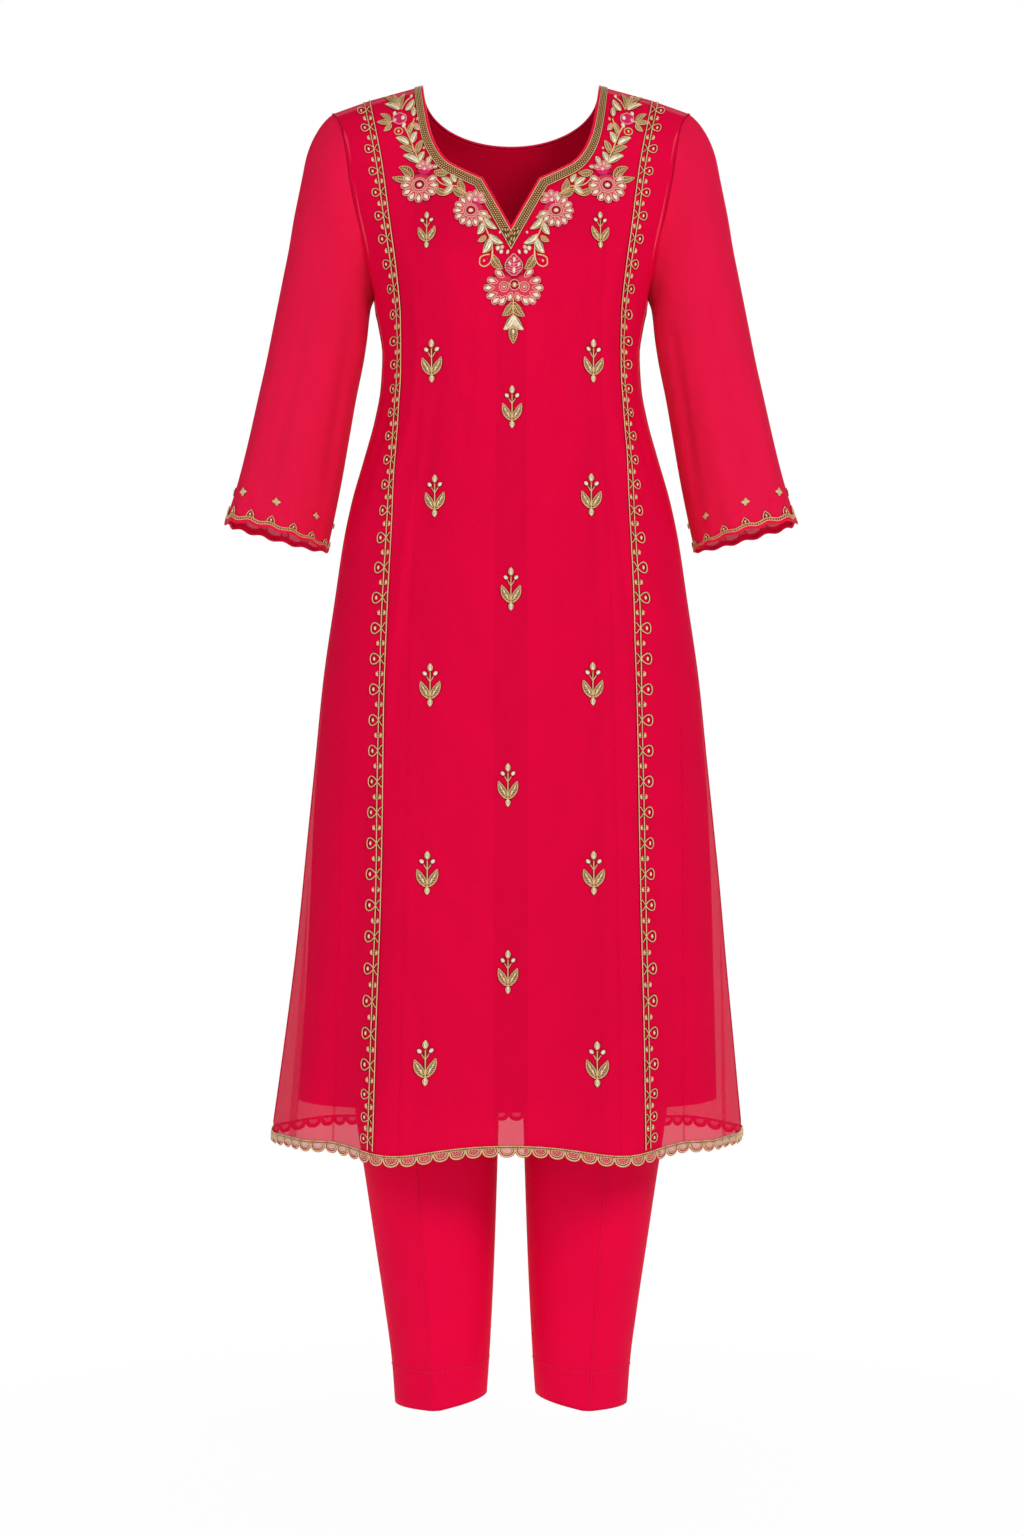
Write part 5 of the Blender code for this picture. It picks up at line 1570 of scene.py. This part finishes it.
# Single beads: across, drop, half width, half length and finish.
KNOTS = (
    (-98, 17.5, 1.6, 1.6, CREAM), (-104.6, 51, 2.0, 2.8, CREAM), (-105.5, 43, 2.0, 2.4, CREAM),
    (-114, 37.5, 1.8, 2.4, CREAM), (-113.5, 45, 1.6, 2.2, PINK), (-91.5, 44.5, 1.1, 1.8, PALE),
    (-84.8, 75.6, 1.3, 1.3, PINK), (-10.6, 165, 1.2, 1.4, CREAM), (-3.2, 184.5, 1.4, 2.2, CREAM),
    (-12.6, 181, 2.2, 2.4, CREAM), (-8.6, 180, 2.0, 2.2, PINK), (-9.4, 184.4, 2.0, 2.2, CREAM),
    (-25.8, 193, 1.1, 1.4, PINK), (-22.8, 191.5, 0.9, 1.1, ROSE), (-109.9, 57.2, 1.2, 1.6, PALE),
)
# Petals of the centre flower: across and up from its middle.
CENTRE_PETALS = (
    (-13.2, 10.9), (-20, 4.5), (-23.2, -1.8), (-20.5, -8.2), (-16.4, -12.5), (-10.2, -12.6), (-3.4, -9.0),
    (3.2, -9.2), (9.8, -12.5), (15.6, -12.3), (19.4, -7.7), (22, -1.8), (19.6, 4.6), (13.4, 11.6),
)


class SUIT_OT_neck_flowers(SuitOperator, bpy.types.Operator):
    """Padded flowers below the neck, and the stems, buds and leaves between them"""

    bl_idname = "suit.neck_flowers"
    bl_label = "Neck flowers"

    def execute(self, context):
        _, _, threads = self.settings(context)
        side, small = self.round_flower(9, 150, 385), self.round_flower(10, 98, 345)
        for name, shape, x, drop, size, mirror in (
            ("centre", self.centre_flower(), 3.0, 217.0, 1.0, False),
            ("left", small, -38.7, 142.8, 0.98, False),
            ("right", small, 43.5, 142.8, 0.98, True),
            ("side_left", side, -88.5, 114.5, 1.06, False),
            ("side_right", side, 93.3, 114.5, 1.06, True),
        ):
            flower = Stitching()
            flower.stamp(shape, (x, -drop), scale=size, mirror=mirror)
            sew_on(f"rosette_{name}", flower, on_front, threads, [f"bloom_{name}"])
        sprays = Stitching()
        half = self.spray()
        sprays.stamp(half, (0, 0))
        sprays.stamp(half, (4.8, 0), mirror=True)
        self.centre_sprig(sprays)
        sew_on("neck_sprays", sprays, on_front, threads, [])
        return {"FINISHED"}

    def round_flower(self, petals, first, last):
        """Petals fanned round a pearl in two rings, from a first to a last direction in degrees."""
        one = Stitching()
        one.ground((0, 0), 12.5, 12.5, 0.8, ROSE, 13)
        for degrees in np.linspace(first, last, petals):
            turn = math.radians(degrees)
            one.petal(heading(turn) * 12.0, turn, 10.0, 6.6)
        one.ground((0, 0), 6.8, 6.8, 1.1, ROSE, 9)
        one.ring((0, 0), 6.9, 6.9, 0.8, PINK, 30, base=0.7)
        one.ring((0, 0), 5.3, 5.3, 1.0, PINK, 30, base=0.9)
        # Painted shadow: a dark ring in the hollow round the pearl.
        one.ring((0, 0), 3.5, 3.5, 0.9, SHADE, 24, base=0.9)
        one.bead((0, 0), CREAM, 2.2, 2.4, height=2.6)
        return one

    def centre_flower(self):
        """Wide flower: fourteen petals, two looped scrolls and a gold eye."""
        one = Stitching()
        one.ground((-11, 0), 12, 12, 0.8, ROSE, 13)
        one.ground((11, 0), 12, 12, 0.8, ROSE, 13)
        one.ground((0, -2), 14, 10, 0.8, ROSE, 13, base=0.1)
        for a, b in CENTRE_PETALS:
            turn = math.atan2(b + 1, a)
            long = 10.5 if abs(a) > 8 else 8.0
            one.petal(np.array([a, b]) + heading(turn) * 0.6, turn, long, 6.4)
        for way in (-1, 1):
            one.ring((way * 9.8, -0.8), 4.6, 4.6, 0.8, PINK, 22, base=0.9)
            one.ring((way * 9.8, -0.8), 2.6, 2.6, 0.8, PINK, 16, base=0.9)
            one.bead((way * 9.8, -0.8), CREAM, 1.1, 1.4, height=1.8, base=0.4)
            one.cord(np.array([[way * 5.8, 3], [way * 4, 1.5], [way * 2.5, 0.8]]), 0.9, PINK, base=0.9)
        one.ring((0.4, 1), 4.6, 4.8, 0.8, PINK, 24, base=0.9)
        # Painted shadow: a dark ring in the hollow round the eye.
        one.ring((0.4, 1), 3.3, 3.4, 0.9, SHADE, 20, base=0.9)
        one.bead((0.4, 1), PALE, 2.2, 2.6, height=2.2, turn=np.pi / 2)
        one.bead((0.4, 1), CREAM, 1.1, 1.3, height=2.8, turn=np.pi / 2)
        return one

    def fan_bud(self, plan, at, turn, size):
        """A half-open bud: a dark ground, and four petals fanned about its direction."""
        at = np.asarray(at, float)
        plan.ground(at, size * 0.72, size * 0.72, 1.1, MAGENTA, 9)
        for degrees in np.linspace(-66, 66, 4):
            way = turn + math.radians(degrees)
            near = at + heading(way) * size * 0.58
            plan.petal(near, way, size * 0.84, size * 0.54, PINK, PINK, MAGENTA)
        plan.bead(at, CREAM, size * 0.17, size * 0.17, height=2.4)

    def spray(self):
        """Left half of the stems, leaves and buds, whose mirror image is the right half."""
        half = Stitching()
        for line in STEMS:
            self.stem(half, line)
        self.stem(half, CURL, 1.2)
        for x0, drop0, x1, drop1, wide, finish, bend in LEAVES:
            half.leaf((x0, -drop0), (x1, -drop1), wide, finish, -bend)
        for x, drop, wide, long, finish in KNOTS:
            half.bead((x, -drop), finish, wide, long, turn=1.2, height=wide * 1.3)
        half.ring((-109.9, -57.2), 4.0, 3.6, 1.1, PALE, 20)
        half.ground((-108.9, -43.5), 7.2, 6.6, 1.2, MAGENTA, 9)
        half.ring((-108.9, -43.5), 6.2, 5.6, 0.8, PINK, 24, 0.12, 6, base=0.5)
        self.fan_bud(half, (-84, -98), 1.45, 9.0)
        self.fan_bud(half, (-34.5, -132), 1.1, 10.5)
        return half

    def stem(self, plan, line, width=1.2):
        """A cord through the points of a line, rounded by cubic pieces."""
        line = np.array(line, float) * (1, -1)
        distance = along_line(line)
        run = np.linspace(0, distance[-1], 26)
        curve = level(smooth(distance, line[:, 0], run), smooth(distance, line[:, 1], run))
        plan.cord(curve, width, PALE)

    def centre_sprig(self, plan):
        """The bud above the centre flower, and the leaves that hang below it."""
        plan.leaf((2.7, -207), (2.7, -186.5), 17, MAGENTA, 0.0, edge=PINK)
        for a, b, wide, long in (
            (0.6, 4.6, 1.5, 2.4), (0.2, -5.6, 1.7, 3.2), (-4, 1, 1.3, 2.2), (5, 0, 1.3, 2.4)
        ):
            at = 2.7 + a, -196.6 + b
            plan.bead(at, CREAM, wide, long, turn=np.pi / 2 - a * 0.1, height=2.0, base=1.0)
        for x0, drop0, x1, drop1, wide, finish, bend in (
            (1, 232.5, -8, 244, 7.5, ANTIQUE, -0.14), (3.2, 232.5, 12.8, 244.5, 7.5, ANTIQUE, 0.14),
            (1.8, 244.5, -7, 257, 7.5, CREAM, -0.14), (2.9, 244.5, 11.8, 257.2, 7.5, CREAM, 0.14),
            (2.1, 253, 2.1, 270, 8, ANTIQUE, 0.0),
        ):
            plan.leaf((x0, -drop0), (x1, -drop1), wide, finish, -bend)
        plan.drop((2.1, -259), 5.5, 3.0, -np.pi / 2, CREAM, base=1.0)
        self.stem(plan, ((2.4, 229), (2.2, 240), (2.1, 254)))


BUTIS = {
    "across": (-81, 85.9, -76.7, 79.6, 1, -73.5, 77.4, 0, -76.8, 77.8, -2.9, -78.2, 77.3, -2.9, -78.6, 79.5),
    "drop": (161.1, 160.7, 284.9, 284.7, 331, 417, 415.9, 507.9, 600.3, 599.3, 696.3, 780.2, 780.2, 874.4,
             957.5, 958.3),
    "size": (0.88, 0.88, 1, 1, 1, 1, 1, 1, 1, 1, 1, 1, 1, 1, 1, 1),
}


class SUIT_OT_butis(SuitOperator, bpy.types.Operator):
    """Small separate motifs over the centre front"""

    bl_idname = "suit.butis"
    bl_label = "Scattered motifs"

    def execute(self, context):
        _, _, threads = self.settings(context)
        across, drop, size = columns(BUTIS, "across", "drop", "size")
        plan = Stitching()
        plan.stamp(self.buti(), level(across, -drop), scale=size)
        sew_on("scattered_butis", plan, on_front, threads, [])
        return {"FINISHED"}

    def buti(self):
        """Two bellied leaves and a stem, with pearls on its branches and a bud at its top."""
        one = Stitching()
        one.cord_over_painted_shadow(np.array([[0, -13.5], [0, -8], [0, 0], [0, 6], [0, 12]]), 1.1, PALE)
        one.leaf((0, 13.4), (0, 20.4), 4.4, CREAM, height=1.1, rings=7)
        one.leaf((0, -13.8), (0, -20.4), 4.2, CREAM, height=1.1, rings=7)
        for way in (-1, 1):
            # Painted shadow: a wider, low dark bead under each pearl.
            one.bead((way * 5.0, 11.0), SHADE, 2.5, 3.0, turn=np.pi / 2 - way * 0.7, height=0.6)
            one.bead((way * 5.0, 11.0), CREAM, 1.9, 2.4, turn=np.pi / 2 - way * 0.7, height=2.0)
            one.cord_over_painted_shadow(np.array([[0, 3], [way * 1.7, 5.6], [way * 3.2, 8.2]]), 0.9, PALE)
            one.leaf((way * 0.6, -12.4), (way * 8.8, 3.2), 6.6, ANTIQUE, way * -0.05, height=1.3, rings=11)
            one.drop((way * 3.6, -7.4), 6.0, 1.7, np.pi / 2 - way * 0.35, CREAM, height=1.9)
            one.drop((way * 6.4, -2.6), 5.4, 1.5, np.pi / 2 - way * 0.55, CREAM, height=1.9)
            belly = np.array([[0, -13.2], [way * 3.2, -12.3], [way * 6.2, -9.8], [way * 8.2, -6.4]])
            one.cord_over_painted_shadow(belly, 1.0, PALE, base=0.1)
        return one


class SUIT_OT_seams(SuitOperator, bpy.types.Operator):
    """Armhole and side seams of the kameez, and pressed creases and hem stitches of the trousers"""

    bl_idname = "suit.seams"
    bl_label = "Seams"

    def execute(self, context):
        colours, _, threads = self.settings(context)
        # The seams' cord is the kameez's colour darkened: painted shade along the armhole and side seams.
        seam = twisted_thread("seam_thread", shade(colours.body, 0.6)[:3], 0.8, 0.6, gloss=0.05)
        grids = kameez_grids(0.6)
        for side, word in SIDES:
            self.armhole(side, word, seam)
            self.side_seam(grids[f"front_side_{word}"], word, seam)
            for face, part in FACES:
                self.leg(side, face, f"{part}_{word}", threads)
        return {"FINISHED"}

    def leg(self, side, face, words, threads):
        """The pressed crease and the hem's stitches on one face of a trouser leg."""
        mirrored = side * face <= 0
        crease, hem, stitch = Stitching(), Stitching(), Stitching()
        crease.cord(level(0, -np.linspace(CREASE_TOP, TROUSER_HEM - 6, 200)), 0.8, RED, height=0.5)
        sew_on(f"trouser_crease_{words}", crease, trouser_leg(side, face), threads, [],
               mirrored, lift=-0.1)
        surface, length = trouser_row(side, face, TROUSER_HEM - TURN_UP)
        stitch.bead((0, 0), ROSE, 0.4, 1.3, height=0.7)
        hem.stamp(stitch, level(np.arange(3, length - 2, HEM_STITCH), 0))
        sew_on(f"trouser_stitches_{words}", hem, surface, threads, [], mirrored, lift=0.0)

    def armhole(self, side, word, thread):
        """A cord along the seam's loop: its rings of points lie across the seam."""
        loop = sleeve_point(side, circle(120) * -side, np.zeros(120))
        away = unit((loop - loop.mean(axis=0)) * (0, 1, 1)) * ARMHOLE_CORD
        turn = circle(8)
        rings = loop[:, None] + away[:, None] * np.cos(turn)[:, None]
        rings = rings + np.array([-side * ARMHOLE_CORD, 0, 0]) * np.sin(turn)[:, None]
        wrap_cord(f"armhole_seam_{word}", rings, thread, [])

    def side_seam(self, grid, word, thread):
        """A cord down the outer column of a side front, from the armpit to the hem."""
        edge = grid[:, np.argmax(np.abs(grid[-1, :, 0]))]
        edge = edge[edge[:, 2] < -ARMPIT]
        turn = circle(6)
        radius = np.full(len(edge), SIDE_CORD)
        radius[[0, -1]] = 0.05
        round_it = np.stack([np.cos(turn), np.sin(turn), 0 * turn], axis=1)
        rings = edge[:, None] + radius[:, None, None] * round_it
        wrap_cord(f"side_seam_{word}", rings, thread, [], closed=False)


def wrap_cord(name, rings, material, nodes, closed=True):
    """A cord through rings of points. A closed one's last ring is joined to its first."""
    count, sides = rings.shape[:2]
    grid = np.concatenate([rings, rings[:1]]) if closed else rings
    places = corner_places(flat_places(np.concatenate([grid, grid[:, :1]], axis=1)))
    faces = grid_faces(count, sides, True, joined=closed)
    piece = add_mesh(name, rings.reshape(-1, 3), faces, places, [material])
    if normals_point_in(piece, sides):
        piece.data.flip_normals()
    attach(piece, nodes)


def normals_point_in(piece, sides):
    """True where a cord's faces point to the middle of its rings."""
    normals, centres = (np.zeros(len(piece.data.polygons) * 3) for _ in range(2))
    piece.data.polygons.foreach_get("normal", normals)
    piece.data.polygons.foreach_get("center", centres)
    normals, centres = normals.reshape(-1, sides, 3), centres.reshape(-1, sides, 3)
    return float((normals * (centres - centres.mean(axis=1, keepdims=True))).sum()) < 0


# The stage, in metres: camera, the lights' names, places, sizes and powers, and the place they face.
LENS, SENSOR = 66.8, 36
CAMERA_PLACE = (0.001, -2.85, -0.680)
LIGHTS = (
    ("key", (1.8, -3.0, 1.2), 1.2, 66),
    ("fill", (-2.1, -2.9, 0.5), 2.2, 32),
    ("back", (0.5, 3.0, 1.2), 2.4, 32),
)
LIT_PLACE = (0, 0, -0.6)
AMBIENT = 0.3
FLOOR_REACH, FLOOR_DROP = 9000, 1402.0   # in millimetres


class SUIT_OT_stage(SuitOperator, bpy.types.Operator):
    """Pale floor, soft lights and the camera"""

    bl_idname = "suit.stage"
    bl_label = "Stage"

    def execute(self, context):
        self.floor()
        self.lights()
        self.world()
        data = bpy.data.cameras.new("camera")
        data.lens, data.sensor_width = LENS, SENSOR
        camera = bpy.data.objects.new("camera", data)
        camera.location, camera.rotation_euler = CAMERA_PLACE, (math.pi / 2, 0, 0)
        context.scene.collection.objects.link(camera)
        context.scene.camera = camera
        context.scene.view_settings.view_transform = "Standard"
        return {"FINISHED"}

    def floor(self):
        turn = circle(96)
        x, y = FLOOR_REACH * np.cos(turn), FLOOR_REACH * np.sin(turn)
        ring = np.stack([x, y, np.full(96, -FLOOR_DROP)], axis=1)
        mesh = bpy.data.meshes.new("floor")
        mesh.from_pydata((ring * MM).tolist(), [], [list(range(96))])
        floor = bpy.data.objects.new("floor", mesh)
        bpy.context.scene.collection.objects.link(floor)
        shader = Shader("floor")
        place = shader.node("ShaderNodeTexCoord", {}, {}).outputs["Object"]
        radius = shader.node("ShaderNodeVectorMath", {"operation": "LENGTH"}, {0: place})
        # The floor is mostly a white glow mixed over its diffuse colour, more so further out: painted light
        # that blends it into the white backdrop.
        far = ((Value(shader, radius.outputs["Value"]) - 0.5) * 0.16 + 0.82).clipped()
        shader.finish(Base_Color=(0.86, 0.86, 0.86, 1), Roughness=0.7, Emission_Color=(1, 1, 1, 1))
        shader.finish(Emission_Strength=0.0, Specular_IOR_Level=0.1)
        painted_glow = shader.node("ShaderNodeEmission", {}, {0: (1, 1, 1, 1), 1: 1.0})
        near, away = shader.surface.outputs[0], painted_glow.outputs[0]
        mixed = shader.node("ShaderNodeMixShader", {}, {0: far, 1: near, 2: away})
        output = shader.tree.nodes["Material Output"]
        shader.tree.links.new(mixed.outputs[0], output.inputs[0])
        mesh.materials.append(shader.material)

    def lights(self):
        for name, place, size, power in LIGHTS:
            data = bpy.data.lights.new(name, "AREA")
            data.size, data.energy = size, power
            light = bpy.data.objects.new(name, data)
            light.location = place
            aim = np.array(LIT_PLACE) - np.array(place)
            light.rotation_euler = (math.atan2(math.hypot(aim[0], aim[1]), -aim[2]), 0,
                                    math.atan2(aim[1], aim[0]) - math.pi / 2)
            light.visible_camera = False
            bpy.context.scene.collection.objects.link(light)

    def world(self):
        world = bpy.data.worlds.new("studio")
        world.use_nodes = True
        bpy.context.scene.world = world
        tree = world.node_tree
        tree.nodes.clear()
        seen, lit = tree.nodes.new("ShaderNodeBackground"), tree.nodes.new("ShaderNodeBackground")
        seen.inputs["Strength"].default_value, lit.inputs["Strength"].default_value = 1.0, AMBIENT
        for background in (seen, lit):
            background.inputs["Color"].default_value = (1, 1, 1, 1)
        path, mixed = tree.nodes.new("ShaderNodeLightPath"), tree.nodes.new("ShaderNodeMixShader")
        output = tree.nodes.new("ShaderNodeOutputWorld")
        tree.links.new(path.outputs["Is Camera Ray"], mixed.inputs[0])
        tree.links.new(lit.outputs[0], mixed.inputs[1])
        tree.links.new(seen.outputs[0], mixed.inputs[2])
        tree.links.new(mixed.outputs[0], output.inputs[0])


class SUIT_PT_sidebar(bpy.types.Panel):
    """Settings and pieces of the suit"""

    bl_label = "Salwar kameez suit"
    bl_idname = "SUIT_PT_sidebar"
    bl_space_type = "VIEW_3D"
    bl_region_type = "UI"
    bl_category = "Suit"

    def draw(self, context):
        for group in (context.scene.suit_colours, context.scene.suit_sizes):
            box = self.layout.box()
            for name in group.__annotations__:
                box.prop(group, name)
        for operator in PIECES:
            self.layout.operator(operator.bl_idname)


PIECES = (
    SUIT_OT_panels, SUIT_OT_lining, SUIT_OT_sleeves, SUIT_OT_trousers, SUIT_OT_neck_trims,
    SUIT_OT_princess_borders, SUIT_OT_hem_laces, SUIT_OT_cuffs, SUIT_OT_neck_flowers, SUIT_OT_butis,
    SUIT_OT_seams, SUIT_OT_stage,
)
CLASSES = (SuitColours, SuitSizes, *PIECES, SUIT_PT_sidebar)


def register():
    for one in CLASSES:
        bpy.utils.register_class(one)
    bpy.types.Scene.suit_colours = PointerProperty(type=SuitColours)
    bpy.types.Scene.suit_sizes = PointerProperty(type=SuitSizes)


def unregister():
    del bpy.types.Scene.suit_colours, bpy.types.Scene.suit_sizes
    for one in reversed(CLASSES):
        bpy.utils.unregister_class(one)


def main():
    register()
    for operator in PIECES:
        area, verb = operator.bl_idname.split(".")
        getattr(getattr(bpy.ops, area), verb)()
    declare_sheets()


if __name__ == "__main__":
    main()
